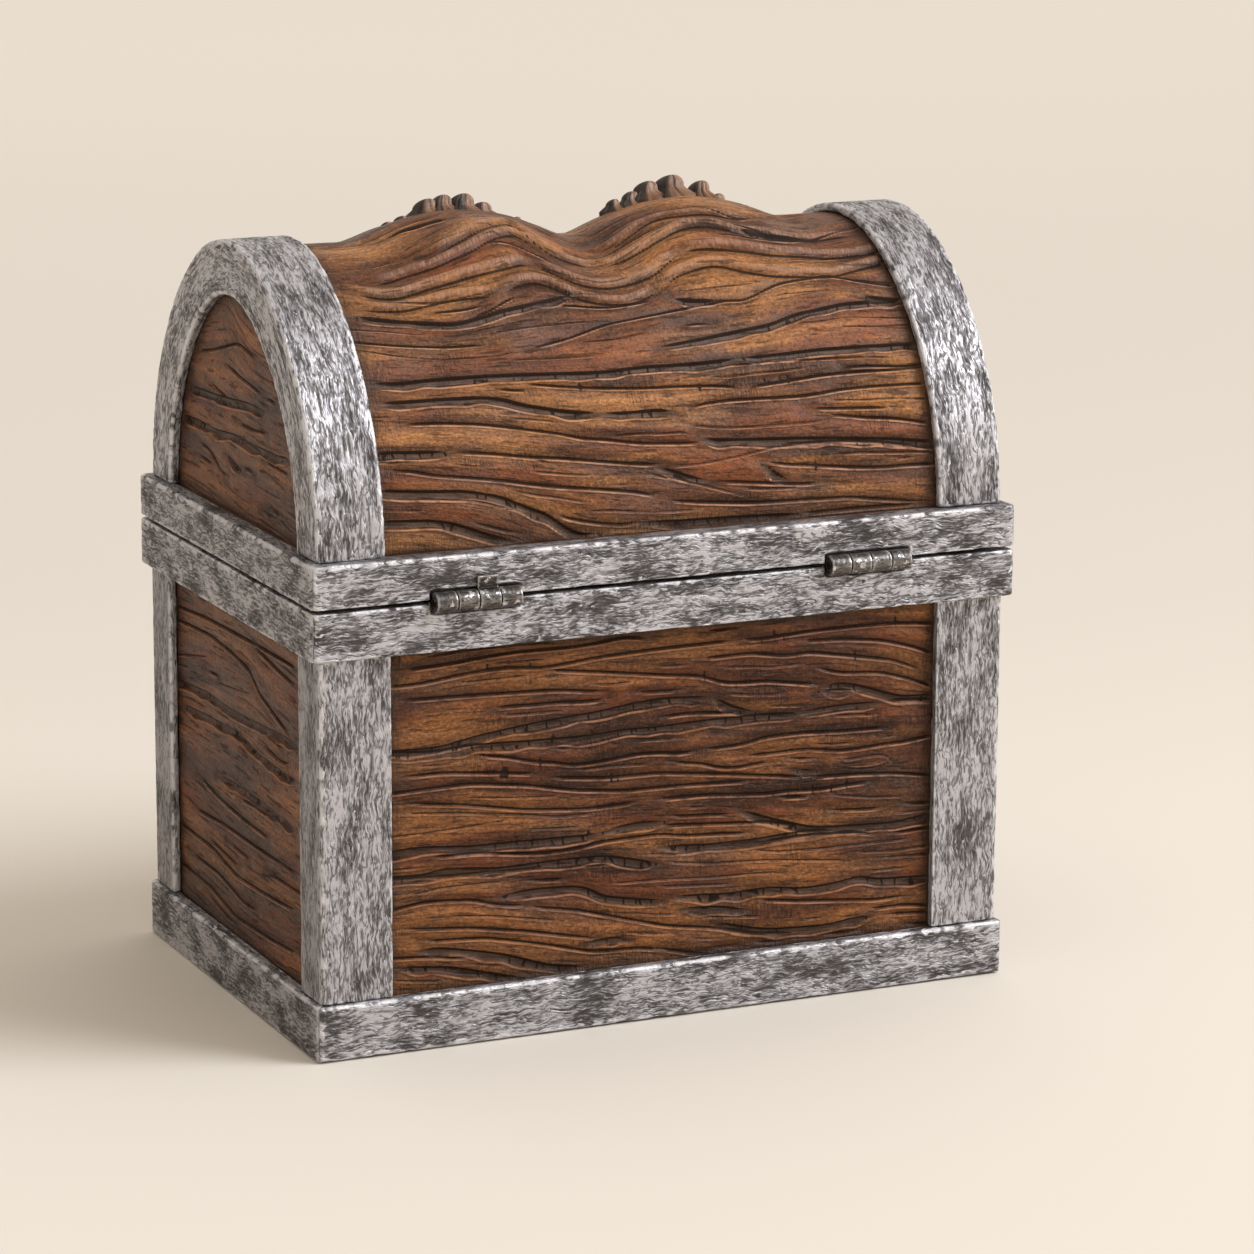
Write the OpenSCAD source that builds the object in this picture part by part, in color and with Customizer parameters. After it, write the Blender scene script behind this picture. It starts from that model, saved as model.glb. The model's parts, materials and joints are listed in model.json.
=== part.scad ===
// Barrel-lidded dice box: carved wood panels in metal bands, felt lined, on two small hinges.
// The front faces -Y, the hinges are at the back (+Y), and the box stands on z = 0.

/* [Overall] */
// Width over the two rim bands
rim_w = 120; // [104:1:150]
// Depth over the two rim bands
rim_d = 79.2; // [74:0.4:88]
// Height of the body from the table to the top of its rim
body_h = 70.7; // [50:0.1:95]
// Height of the base band's top above the table
base_h = 9; // [7:0.1:16]
// Height of the body's rim band
body_rim_h = 7.5; // [6:0.1:12]
// Height of the lid's rim band
lid_rim_h = 6.7; // [5.5:0.1:12]
// Shadow gap between the two rims when the lid is closed
part_gap = 0.6; // [0.3:0.05:1]

/* [Bands] */
// How far the rims stand out past the corner posts
rim_step = 1.3; // [0.6:0.1:2]
// How far the base band sits in from the rims
base_step = 0.5; // [0:0.1:1]
// Thickness of the corner posts and of the straps over the lid
strap_t = 1.5; // [1:0.1:2.5]
// Thickness of the flat rims that cover the edges of the wood
flange_t = 1.5; // [1.4:0.1:2.2]
// Width of a post on the front and back faces
post_face_w = 11.9; // [8:0.1:16]
// Width of a post on the two side faces
post_side_w = 8.8; // [6:0.1:14]
// Radius on the upright corners of the bands
band_r = 1; // [0.4:0.1:1.4]

/* [Lid arch] */
// Height of the arch bands' crown above the lid's rim
arch_rise = 43.7; // [41:0.1:50]
// Radius of the crown of the arch
crown_r = 28.8; // [25:0.1:31]
// How far the arch sits in from the posts at the front and back
arch_set_back = 0.9; // [0.4:0.1:2]
// How far the arch bands sit in from the posts at the sides
arch_set_side = 0.3; // [0:0.1:1]
// Width of the straps over the barrel
strap_w = 11.2; // [8:0.1:16]
// Width of the arch rings on the two end faces
ring_w = 8.6; // [7:0.1:12]
// Thickness of the arch rings
ring_t = 1.7; // [1:0.1:2.5]

/* [Wood] */
// Thickness of the body's panels and of the barrel
wood_t = 3.5; // [2.5:0.1:5]
// Thickness of the lid's two end panels
end_t = 3.2; // [2.5:0.1:4.5]
// Thickness of the floor panel
floor_t = 3.2; // [2:0.1:5]

/* [Carved strands] */
// Depth of the main grooves between the strands
groove_depth = 0.6; // [0.3:0.05:0.8]
// Half width of a main groove
groove_half_w = 1.2; // [0.8:0.1:1.6]

/* [Carved brows] */
// Distance of each brow's middle from the middle of the lid
brow_x = 20.5; // [18:0.5:24]
// Half width of a brow
brow_half_w = 19; // [14:0.5:20]
// Height of a brow above the plain barrel
brow_rise = 4; // [2:0.1:6]
// Height of the tallest knot above the crown of the arch bands
crest_rise = 6.1; // [4:0.1:8]
// Radius of the largest knot
knot_r = 2.1; // [1.5:0.1:2.6]

/* [Lining] */
// Thickness of the felt lining
felt_t = 1; // [0.6:0.1:2]
// Thickness of the felt under the base
base_felt_t = 1.5; // [1:0.1:2.5]
// How far the base felt stands out below the base band
felt_proud = 0.3; // [0.1:0.05:0.6]
// Inset of the base felt from the base band
base_felt_gap = 0.4; // [0.2:0.1:1]
// Glue gap behind the linings and under the straps
glue_gap = 0.1; // [0.08:0.01:0.2]

/* [Hinges] */
// Distance of each hinge's middle in from the end of the rim
hinge_in = 26.6; // [18:0.1:36]
// Length of a hinge barrel
hinge_len = 14.2; // [10:0.1:18]
// Radius of a hinge barrel
barrel_r = 1.65; // [1.4:0.05:2]
// Radius of a hinge pin
pin_r = 0.6; // [0.4:0.05:0.8]
// Running clearance round a hinge pin, on the radius
pin_clear = 0.05; // [0.02:0.01:0.08]
// Seat clearance of a hinge pin in the knuckles that grip it
pin_seat = 0.02; // [0.01:0.005:0.03]
// Gap between neighbouring knuckles
knuckle_gap = 0.15; // [0.1:0.05:0.3]
// Distance of the hinge axis behind the rims' back faces
axis_proud = 0.3; // [0.2:0.05:0.8]
// Clearance round a barrel in its cove
cove_clear = 0.35; // [0.25:0.05:0.5]
// Thickness of a hinge leaf
leaf_t = 0.7; // [0.5:0.05:0.9]
// Reach of a hinge leaf from the hinge axis into the box
leaf_reach = 6.8; // [6:0.1:7]
// Clearance round a leaf in its mortise
leaf_clear = 0.05; // [0.03:0.01:0.1]
// Height of the upright tab on one lid leaf
tab_h = 3.6; // [2.5:0.1:5]
// Thickness of that tab
tab_t = 0.5; // [0.3:0.05:0.7]

/* [Leaf screws] */
// Distance between the two screws of a leaf
screw_pitch = 8.4; // [6:0.1:10]
// Distance of the screws from the hinge axis
screw_back = 4.9; // [4.6:0.1:5.2]
// Radius of a screw head
screw_head_r = 1.1; // [0.8:0.05:1.3]
// Radius of a screw shank
screw_r = 0.5; // [0.4:0.05:0.7]
// Length of a screw
screw_len = 4; // [3:0.1:5]
// Clearance round a screw
screw_clear = 0.04; // [0.02:0.01:0.08]

/* [Closure magnets] */
// Distance of each magnet in from the end of the rim
magnet_in = 16; // [12:0.5:30]
// Radius of a magnet
magnet_r = 1.5; // [1:0.1:1.6]
// Thickness of a magnet
magnet_t = 1.5; // [1:0.05:1.6]
// Air left between a magnet and the middle of the shadow gap
magnet_air = 0.03; // [0.02:0.01:0.1]
// Clearance round a magnet in its pocket
magnet_clear = 0.05; // [0.03:0.01:0.1]

/* [Hidden] */
$fn = 96;

// Colours as painted
metal_paint = [0.52, 0.51, 0.5];
wood_stain = [0.36, 0.19, 0.1];
felt_red = [0.3, 0.05, 0.06];
felt_dark = [0.08, 0.07, 0.07];
aged_steel = [0.3, 0.28, 0.26];
bright_steel = [0.7, 0.7, 0.71];

// One overrun for every cut that leaves a solid
over = strap_t;

// Half sizes of the frame, from the rims inwards
frame_x = rim_w / 2 - rim_step;
frame_y = rim_d / 2 - rim_step;
base_x = rim_w / 2 - base_step;
base_y = rim_d / 2 - base_step;
panel_x = frame_x - strap_t;
panel_y = frame_y - strap_t;
inner_x = panel_x - wood_t;
inner_y = panel_y - wood_t;

// Heights of the body
floor_z = base_felt_t;
floor_top = floor_z + floor_t;
panel_top = body_h - flange_t;
body_rim_z = body_h - body_rim_h;

// Heights and half sizes of the lid
lid_z = body_h + part_gap;
sill_z = lid_z + flange_t;
spring_z = lid_z + lid_rim_h;
arch_x = frame_x - arch_set_side;
arch_a = frame_y - arch_set_back;
end_x = arch_x - ring_t;
barrel_inner = strap_t + wood_t;
open_x = end_x - end_t;
open_y = arch_a - barrel_inner;

// Three-centred arch: side arcs on the spring line meet the crown arc on one normal
side_r = (pow(arch_a, 2) + pow(arch_rise, 2) - 2 * arch_rise * crown_r) / (2 * (arch_a - crown_r));
side_c = side_r - arch_a;
crown_c = arch_rise - crown_r;
meet = atan2(crown_c, side_c);

// Steps of the carved faces along a panel and along the barrel
panel_columns = 12;
barrel_columns = 28;
knot_sides = 16;

// Carved faces of the panels: the grooves run from post to post and under them a little
carve_x = frame_x - post_face_w;
carve_y = frame_y - post_side_w;
carve_low = max(base_h, floor_top + groove_half_w);
carve_high = min(body_rim_z, panel_top - groove_half_w);
crowd_share = 0.4;

// Main grooves of the long and of the short panels, from the lowest up: heights as shares
// of the carved height, at even steps from left to right as seen from outside
long_groove_shares = [
    [0.12, 0.1, 0.03, 0.03, 0.05, 0.04, 0.06],
    [0.25, 0.25, 0.25, 0.18, 0.175, 0.165, 0.155],
    [0.345, 0.345, 0.335, 0.31, 0.33, 0.335, 0.345],
    [0.42, 0.41, 0.405, 0.42, 0.41, 0.395, 0.41],
    [0.54, 0.52, 0.485, 0.485, 0.465, 0.46, 0.48],
    [0.635, 0.62, 0.585, 0.565, 0.55, 0.57, 0.585],
    [0.705, 0.705, 0.7, 0.7, 0.705, 0.7, 0.7],
    [0.76, 0.74, 0.765, 0.785, 0.76, 0.775, 0.75],
    [0.855, 0.85, 0.845, 0.85, 0.82, 0.86, 0.83],
    [0.915, 0.92, 0.92, 0.93, 0.93, 0.94, 0.93]
];
short_groove_shares = [
    [0.09, 0.085, 0.07, 0.05, 0.06, 0.07, 0.08],
    [0.215, 0.215, 0.2, 0.18, 0.19, 0.2, 0.205],
    [0.295, 0.3, 0.31, 0.31, 0.31, 0.315, 0.315],
    [0.42, 0.43, 0.455, 0.46, 0.46, 0.45, 0.44],
    [0.6, 0.605, 0.615, 0.62, 0.6, 0.59, 0.595],
    [0.665, 0.675, 0.68, 0.68, 0.69, 0.7, 0.7],
    [0.85, 0.86, 0.865, 0.845, 0.8, 0.77, 0.78],
    [0.91, 0.92, 0.92, 0.92, 0.92, 0.92, 0.92]
];

// Main grooves of the barrel's back half, from the spring line up to the crown, as shares
// of that half's length; the front half has them turned half round
barrel_groove_shares = [
    [0.16, 0.15, 0.09, 0.085, 0.06, 0.055, 0.05],
    [0.26, 0.245, 0.205, 0.19, 0.215, 0.2, 0.18],
    [0.325, 0.31, 0.27, 0.245, 0.265, 0.255, 0.235],
    [0.385, 0.385, 0.335, 0.31, 0.32, 0.325, 0.33],
    [0.435, 0.44, 0.43, 0.425, 0.43, 0.44, 0.44],
    [0.53, 0.495, 0.495, 0.485, 0.505, 0.56, 0.575],
    [0.64, 0.6, 0.63, 0.585, 0.605, 0.655, 0.63],
    [0.73, 0.735, 0.72, 0.645, 0.75, 0.7, 0.73],
    [0.8, 0.795, 0.835, 0.755, 0.86, 0.8, 0.87],
    [0.92, 0.94, 0.955, 0.885, 0.935, 0.88, 0.93]
];
side_run = PI / 180 * meet * (side_r - strap_t - glue_gap);
crown_run = PI / 180 * (180 - 2 * meet) * (crown_r - strap_t - glue_gap);
arch_run = 2 * side_run + crown_run;

// Brows: the crown of each lies a little in front of the top, and the carving runs out
// at this many degrees to each side of it
brow_q = 92;
brow_half_q = 46;
brow_power = 1.3;
crest_q = 103;
root_share = 1.15;
barrel_root = strap_t + wood_t / 2;

// Knots of the crests: place along the brow as a share of its half width, height of the
// top as a share of the crest's rise, and radius as a share of the largest knot's
left_knot_shares = [
    [0.64, 0, 0.4], [0.54, 0.44, 0.5], [0.38, 0.62, 0.65], [0.22, 0.87, 0.8],
    [0.01, 1, 1], [-0.27, 0.8, 0.85], [-0.44, 0.43, 0.55], [-0.68, 0.08, 0.4]
];
right_knot_shares = [
    [0.46, 0.2, 0.45], [0.33, 0.33, 0.5], [0.1, 0.74, 0.8], [-0.04, 0.82, 0.8],
    [-0.22, 0.82, 0.9], [-0.39, 0.57, 0.7], [-0.71, 0.13, 0.4]
];

// Hinge axis and knuckles
hinge_x = rim_w / 2 - hinge_in;
magnet_x = rim_w / 2 - magnet_in;
axis_y = rim_d / 2 + axis_proud;
axis_z = body_h + part_gap / 2;
cove_r = barrel_r + cove_clear;
knuckles = 4;
knuckle_pitch = hinge_len / knuckles;
magnet_y = (inner_y + panel_y) / 2;
head_share = 0.6;
head_h = leaf_t * head_share;
magnet_proud = part_gap / 2 - magnet_air;

// Height of the brows above the plain barrel, at place x along the lid and normal angle q
function swell(u) = abs(u) >= 1 ? 0 : pow(1 - u * u, brow_power);
function brow(x, q) =
    brow_rise * swell((q - brow_q) / brow_half_q)
    * max(swell((x - brow_x) / brow_half_w), swell((x + brow_x) / brow_half_w));

// A point of the arch where its outward normal is at angle q, set in from the outline
function arch_centre(q) =
    q < meet ? [-side_c, 0] : q > 180 - meet ? [side_c, 0] : [0, crown_c];
function arch_radius(q) = q < meet || q > 180 - meet ? side_r : crown_r;
function arch_point(q, inset) =
    arch_centre(q) + (arch_radius(q) - inset) * [cos(q), sin(q)] + [0, spring_z];

// Normal angle at a length along the barrel, from the back's spring line
function angle_at(run) =
    run < side_run ? meet * run / side_run
    : run > arch_run - side_run ? 180 - meet * (arch_run - run) / side_run
    : meet + (180 - 2 * meet) * (run - side_run) / crown_run;

// A smooth curve through evenly spaced values, at a share t of its length
function glide(values, t) =
    let (last = len(values) - 1, i = min(floor(t * last), last - 1), f = t * last - i,
         a = values[max(i - 1, 0)], b = values[i], c = values[i + 1],
         d = values[min(i + 2, last)])
    b + f / 2 * (c - a + f * (2 * a - 5 * b + 4 * c - d + f * (3 * (b - c) + d - a)));

// Grooves turned half round, for the face opposite
function upside_down(grooves) =
    [for (i = [len(grooves) - 1:-1:0]) [for (s = grooves[i]) 1 - s]];

// Grooves read from right to left
function backwards(grooves) =
    [for (g = grooves) [for (k = [len(g) - 1:-1:0]) g[k]]];

// Heights and depths of a carved face at a share t of its length: both sides and the
// bottom of each groove, narrower where two grooves crowd, between the face's two edges
function groove_rows(grooves, t, low, high) =
    let (c = [low, for (g = grooves) low + (high - low) * glide(g, t), high],
         e = [for (i = [1:len(c) - 1]) min(groove_half_w, crowd_share * (c[i] - c[i - 1]))])
    [[low, 0],
     for (i = [1:len(grooves)], k = [-1, 0, 1])
         [c[i] + k * e[k < 0 ? i - 1 : i], k == 0 ? groove_depth : 0],
     [high, 0]];

// A rectangle with round corners
module round_rect(x, y, r) {
    for (sx = [-1, 1], sy = [-1, 1])
        translate([sx * (x - r), sy * (y - r)]) circle(r);
    square([2 * (x - r), 2 * y], center = true);
    square([2 * x, 2 * (y - r)], center = true);
}

// Half-round outline of the lid in the plane of y and height above the spring line
module arch_2d(inset) {
    translate([0, crown_c]) intersection() {
        circle(crown_r - inset);
        translate([-crown_r, 0]) square([2 * crown_r, crown_r]);
    }
    intersection() {
        translate([-side_c, 0]) circle(side_r - inset);
        translate([side_c, 0]) circle(side_r - inset);
        translate([-arch_a, 0]) square([2 * arch_a, crown_c + (crown_r - inset) * sin(meet)]);
    }
}

// Stands an outline of the lid up and runs it from x0 to x1
module along_lid(x0, x1, z) {
    translate([x0, 0, z]) rotate([90, 0, 90]) linear_extrude(x1 - x0) children();
}

// A ring of rectangular section lying flat between two heights
module flat_ring(x, y, r, hole_x, hole_y, z0, z1) {
    translate([0, 0, z0]) linear_extrude(z1 - z0) difference() {
        round_rect(x, y, r);
        square([2 * hole_x, 2 * hole_y], center = true);
    }
}

// A block from one corner to the other
module block(low, high) {
    translate(low) cube(high - low);
}

// Puts its children on both hinges
module at_hinges() {
    for (sx = [-1, 1]) translate([sx * hinge_x, axis_y, axis_z]) children();
}

// A rod along the hinge axis, from the middle of the hinge
module axis_rod(r, x0, x1) {
    translate([x0, 0, 0]) rotate([0, 90, 0]) cylinder(h = x1 - x0, r = r);
}

// Screws of one leaf, head up at the leaf's face, grown by a clearance
module leaf_screws(clear) {
    for (sx = [-1, 1]) translate([sx * screw_pitch / 2, -screw_back, -part_gap / 2]) {
        translate([0, 0, -head_h - clear]) cylinder(h = head_h + clear, r = screw_head_r + clear);
        translate([0, 0, -screw_len - clear]) cylinder(h = screw_len + clear, r = screw_r + clear);
    }
}

// What a rim gives up to the lower half of a hinge: cove, leaf mortise and screw holes
module hinge_pocket() {
    reach = leaf_reach + leaf_clear;
    half = hinge_len / 2 + cove_clear;
    depth = leaf_t + leaf_clear;
    axis_rod(cove_r, -half, half);
    block([-half, -reach, -part_gap / 2 - depth], [half, 0, 0]);
    leaf_screws(screw_clear);
}

// One leaf of a hinge with its own knuckles, flat side towards the shadow gap
module hinge_leaf(own, bore_r, tab) {
    difference() {
        union() {
            block([-hinge_len / 2, -leaf_reach, -part_gap / 2 - leaf_t],
                  [hinge_len / 2, -cove_r, -part_gap / 2]);
            for (k = own) {
                x1 = hinge_len / 2 - k * knuckle_pitch - knuckle_gap / 2;
                x0 = x1 - knuckle_pitch + knuckle_gap;
                axis_rod(barrel_r, x0, x1);
                block([x0, -cove_r - leaf_t, -part_gap / 2 - leaf_t], [x1, 0, -part_gap / 2]);
                if (tab && k == 2)
                    block([x0, -axis_proud, -tab_h], [x1, tab_t - axis_proud, 0]);
            }
        }
        axis_rod(bore_r, -hinge_len, hinge_len);
        leaf_screws(screw_clear);
    }
}

// The closure magnets' places on the front wall, grown by a clearance
module magnet_discs(clear) {
    for (sx = [-1, 1]) translate([sx * magnet_x, -magnet_y, magnet_proud - magnet_t - clear])
        cylinder(h = magnet_t + clear, r = magnet_r + clear);
}

// A rounded knot of a crest with its root in the brow
module knot(x, top, r) {
    low = arch_point(crest_q, barrel_root);
    high = arch_point(crest_q, r - top);
    hull() {
        translate([x, low.x, low.y]) sphere(r * root_share, $fn = knot_sides);
        translate([x, high.x, high.y]) sphere(r, $fn = knot_sides);
    }
}

module base_felt() {
    x = panel_x - base_felt_gap;
    y = panel_y - base_felt_gap;
    color(felt_dark) block([-x, -y, 0], [x, y, base_felt_t]);
}

module base_band() {
    color(metal_paint) flat_ring(base_x, base_y, band_r, panel_x, panel_y, felt_proud, base_h);
}

module floor_panel() {
    color(wood_stain) block([-panel_x, -panel_y, floor_z], [panel_x, panel_y, floor_top]);
}

// An upright board whose outer face, towards +Y at a distance from the middle of the box,
// is carved between two posts
module carved_board(half_w, outside, carve_w, grooves) {
    grid_w = min(carve_w + groove_half_w, half_w - groove_half_w / 2);
    cut_w = grid_w - groove_half_w;
    xs = [grid_w, for (j = [0:panel_columns]) cut_w * (1 - 2 * j / panel_columns), -grid_w];
    wide = len(xs);
    tall = 3 * len(grooves) + 2;
    grid = [for (x = xs)
        let (share = min(max((1 - x / cut_w) / 2, 0), 1), cut = abs(x) < grid_w ? 1 : 0)
            for (p = groove_rows(grooves, share, carve_low, carve_high))
                [x, outside - cut * p[1], p[0]]];
    corners = [for (y = [outside, outside - wood_t], z = [floor_top, panel_top], x = [half_w, -half_w])
        [x, y, z]];
    c = wide * tall;
    faces = [
        for (j = [0:wide - 2], i = [0:tall - 2])
            let (a = j * tall + i)
                if (i % 3 == 0) [a, a + 1, a + tall + 1, a + tall],
        for (j = [0:wide - 2], i = [0:tall - 2], half = [0, 1])
            let (a = j * tall + i)
                if (i % 3 > 0) half == 0 ? [a, a + 1, a + tall] : [a + 1, a + tall + 1, a + tall],
        [c, for (j = [0:wide - 1]) j * tall, c + 1],
        [c + 3, for (j = [wide - 1:-1:0]) j * tall + tall - 1, c + 2],
        [c + 2, for (i = [tall - 1:-1:0]) i, c],
        [c + 1, for (i = [0:tall - 1]) c - tall + i, c + 3],
        [c, c + 1, c + 5, c + 4],
        [c + 2, c + 6, c + 7, c + 3],
        [c, c + 4, c + 6, c + 2],
        [c + 1, c + 3, c + 7, c + 5],
        [c + 4, c + 5, c + 7, c + 6]
    ];
    polyhedron(points = concat(grid, corners), faces = faces);
}

module front_panel() {
    color(wood_stain) rotate([0, 0, 180])
        carved_board(panel_x, panel_y, carve_x, upside_down(long_groove_shares));
}

module back_panel() {
    color(wood_stain) difference() {
        carved_board(panel_x, panel_y, carve_x, long_groove_shares);
        at_hinges() leaf_screws(screw_clear);
    }
}

module left_panel() {
    color(wood_stain) rotate([0, 0, 90])
        carved_board(inner_y, panel_x, carve_y, upside_down(short_groove_shares));
}

module right_panel() {
    color(wood_stain) rotate([0, 0, -90])
        carved_board(inner_y, panel_x, carve_y, short_groove_shares);
}

// An angle strap on one upright corner of the body
module post(side, end) {
    color(metal_paint) mirror([side < 0 ? 1 : 0, 0, 0]) mirror([0, end < 0 ? 1 : 0, 0])
        translate([0, 0, base_h]) linear_extrude(body_rim_z - base_h) difference() {
            intersection() {
                round_rect(frame_x, frame_y, band_r);
                translate([frame_x - post_face_w, frame_y - post_side_w])
                    square([post_face_w, post_side_w]);
            }
            square([panel_x, panel_y]);
        }
}

module front_left_post() {
    post(-1, -1);
}

module front_right_post() {
    post(1, -1);
}

module back_left_post() {
    post(-1, 1);
}

module back_right_post() {
    post(1, 1);
}

module body_rim_band() {
    color(metal_paint) difference() {
        union() {
            flat_ring(rim_w / 2, rim_d / 2, band_r, panel_x, panel_y, body_rim_z, body_h);
            flat_ring(rim_w / 2, rim_d / 2, band_r, open_x, open_y, panel_top, body_h);
        }
        at_hinges() hinge_pocket();
        translate([0, 0, body_h]) magnet_discs(magnet_clear);
    }
}

module wall_lining() {
    x = inner_x - glue_gap;
    y = inner_y - glue_gap;
    color(felt_red) difference() {
        block([-x, -y, floor_top], [x, y, panel_top - glue_gap]);
        block([felt_t - x, felt_t - y, floor_top - over], [x - felt_t, y - felt_t, panel_top]);
    }
}

module floor_lining() {
    x = inner_x - felt_t - 2 * glue_gap;
    y = inner_y - felt_t - 2 * glue_gap;
    color(felt_red) block([-x, -y, floor_top], [x, y, floor_top + felt_t]);
}

module body_magnets() {
    color(bright_steel) translate([0, 0, body_h]) magnet_discs(0);
}

module body_leaf(side) {
    color(aged_steel) translate([side * hinge_x, axis_y, axis_z])
        hinge_leaf([1, 3], pin_r + pin_seat, false);
}

module left_body_leaf() {
    body_leaf(-1);
}

module right_body_leaf() {
    body_leaf(1);
}

module hinge_pin(side) {
    color(bright_steel) translate([side * hinge_x, axis_y, axis_z])
        axis_rod(pin_r, -hinge_len / 2, hinge_len / 2);
}

module left_hinge_pin() {
    hinge_pin(-1);
}

module right_hinge_pin() {
    hinge_pin(1);
}

module body_leaf_screws() {
    color(aged_steel) at_hinges() leaf_screws(0);
}

module lid_rim_band() {
    color(metal_paint) difference() {
        union() {
            flat_ring(rim_w / 2, rim_d / 2, band_r, end_x, arch_a - strap_t, lid_z, spring_z);
            flat_ring(rim_w / 2, rim_d / 2, band_r, open_x, open_y, lid_z, sill_z);
        }
        at_hinges() mirror([0, 0, 1]) hinge_pocket();
        translate([0, 0, lid_z]) mirror([0, 0, 1]) magnet_discs(magnet_clear);
    }
}

module lid_sill() {
    color(wood_stain) difference() {
        block([-end_x, strap_t - arch_a, sill_z], [end_x, arch_a - strap_t, spring_z]);
        block([-open_x, -open_y, sill_z - over], [open_x, open_y, spring_z + over]);
        at_hinges() mirror([0, 0, 1]) leaf_screws(screw_clear);
    }
}

// The carved barrel: a curved sheet of faces outside, straight boards inside
module barrel_shell() {
    back_half = [for (g = barrel_groove_shares) [for (s = g) s / 2]];
    grooves = concat(back_half, upside_down(backwards(back_half)));
    cut_x = arch_x - strap_w;
    xs = [end_x, cut_x + groove_half_w,
        for (j = [0:barrel_columns]) cut_x * (1 - 2 * j / barrel_columns),
        -cut_x - groove_half_w, -end_x];
    last = len(xs) - 1;
    tall = 3 * len(grooves) + 2;
    first = tall * (last + 1);
    outer = [for (x = xs)
        let (share = min(max((1 - x / cut_x) / 2, 0), 1), cut = abs(x) > cut_x ? 0 : 1)
            for (p = groove_rows(grooves, share, 0, arch_run))
                let (q = angle_at(p[0]),
                     at = arch_point(q, strap_t + glue_gap + cut * p[1] - brow(x, q)))
                    [x, at.x, at.y]];
    inner = [for (i = [0:tall - 1], x = [end_x, -end_x])
        let (at = arch_point(180 * i / (tall - 1), barrel_inner)) [x, at.x, at.y]];
    side = last * tall;
    faces = [
        for (j = [0:last - 1], i = [0:tall - 2], half = [0, 1])
            let (a = j * tall + i)
                half == 0 ? [a, a + 1, a + tall] : [a + 1, a + tall + 1, a + tall],
        for (i = [0:tall - 2])
            let (a = first + 2 * i) [a, a + 1, a + 3, a + 2],
        for (i = [0:tall - 2])
            let (a = first + 2 * i) [i + 1, i, a, a + 2],
        for (i = [0:tall - 2])
            let (a = first + 2 * i + 1, b = side + i) [b, b + 1, a + 2, a],
        [first, for (j = [0:last]) j * tall, first + 1],
        [first + 2 * tall - 1, for (j = [last:-1:0]) j * tall + tall - 1,
            first + 2 * tall - 2]
    ];
    polyhedron(points = concat(outer, inner), faces = faces);
}

module lid_barrel() {
    color(wood_stain) {
        barrel_shell();
        for (k = left_knot_shares)
            knot(k[0] * brow_half_w - brow_x, k[1] * crest_rise, k[2] * knot_r);
        for (k = right_knot_shares)
            knot(k[0] * brow_half_w + brow_x, k[1] * crest_rise, k[2] * knot_r);
    }
}

module lid_end(side) {
    color(wood_stain) mirror([side < 0 ? 1 : 0, 0, 0])
        along_lid(open_x, end_x, spring_z) arch_2d(barrel_inner + glue_gap);
}

module left_lid_end() {
    lid_end(-1);
}

module right_lid_end() {
    lid_end(1);
}

// A strap over the barrel with the ring that frames the end panel
module arch_band(side) {
    color(metal_paint) mirror([side < 0 ? 1 : 0, 0, 0]) {
        along_lid(arch_x - strap_w, arch_x, spring_z) difference() {
            arch_2d(0);
            arch_2d(strap_t);
        }
        along_lid(end_x, arch_x, spring_z) difference() {
            arch_2d(0);
            arch_2d(ring_w);
        }
    }
}

module left_arch_band() {
    arch_band(-1);
}

module right_arch_band() {
    arch_band(1);
}

module lid_leaf(side) {
    color(aged_steel) translate([side * hinge_x, axis_y, axis_z]) mirror([0, 0, 1])
        hinge_leaf([0, 2], pin_r + pin_clear, side > 0);
}

module left_lid_leaf() {
    lid_leaf(-1);
}

module right_lid_leaf() {
    lid_leaf(1);
}

module lid_leaf_screws() {
    color(aged_steel) at_hinges() mirror([0, 0, 1]) leaf_screws(0);
}

module lid_magnets() {
    color(bright_steel) translate([0, 0, lid_z]) mirror([0, 0, 1]) magnet_discs(0);
}

module lid_lining() {
    outside = barrel_inner + glue_gap;
    x = open_x - glue_gap;
    y = open_y - glue_gap;
    color(felt_red) {
        along_lid(-x, x, spring_z) difference() {
            arch_2d(outside);
            arch_2d(outside + felt_t);
        }
        for (sy = [-1, 1]) mirror([0, sy < 0 ? 1 : 0, 0])
            block([-x, y - felt_t, sill_z], [x, y, spring_z]);
    }
}

module lid_end_linings() {
    x = open_x - glue_gap;
    y = open_y - felt_t - 2 * glue_gap;
    color(felt_red) for (sx = [-1, 1]) mirror([sx < 0 ? 1 : 0, 0, 0]) {
        along_lid(x - felt_t, x, spring_z) arch_2d(barrel_inner + felt_t + 2 * glue_gap);
        block([x - felt_t, -y, sill_z], [x, y, spring_z]);
    }
}

base_felt();
base_band();
floor_panel();
front_panel();
back_panel();
left_panel();
right_panel();
front_left_post();
front_right_post();
back_left_post();
back_right_post();
body_rim_band();
wall_lining();
floor_lining();
body_magnets();
left_body_leaf();
right_body_leaf();
left_hinge_pin();
right_hinge_pin();
body_leaf_screws();
lid_rim_band();
lid_sill();
lid_barrel();
left_lid_end();
right_lid_end();
left_arch_band();
right_arch_band();
left_lid_leaf();
right_lid_leaf();
lid_leaf_screws();
lid_magnets();
lid_lining();
lid_end_linings();
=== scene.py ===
"""Dresses the dice box: carved wood panels, brushed metal bands, hinges and felt."""
import json
import math

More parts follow.
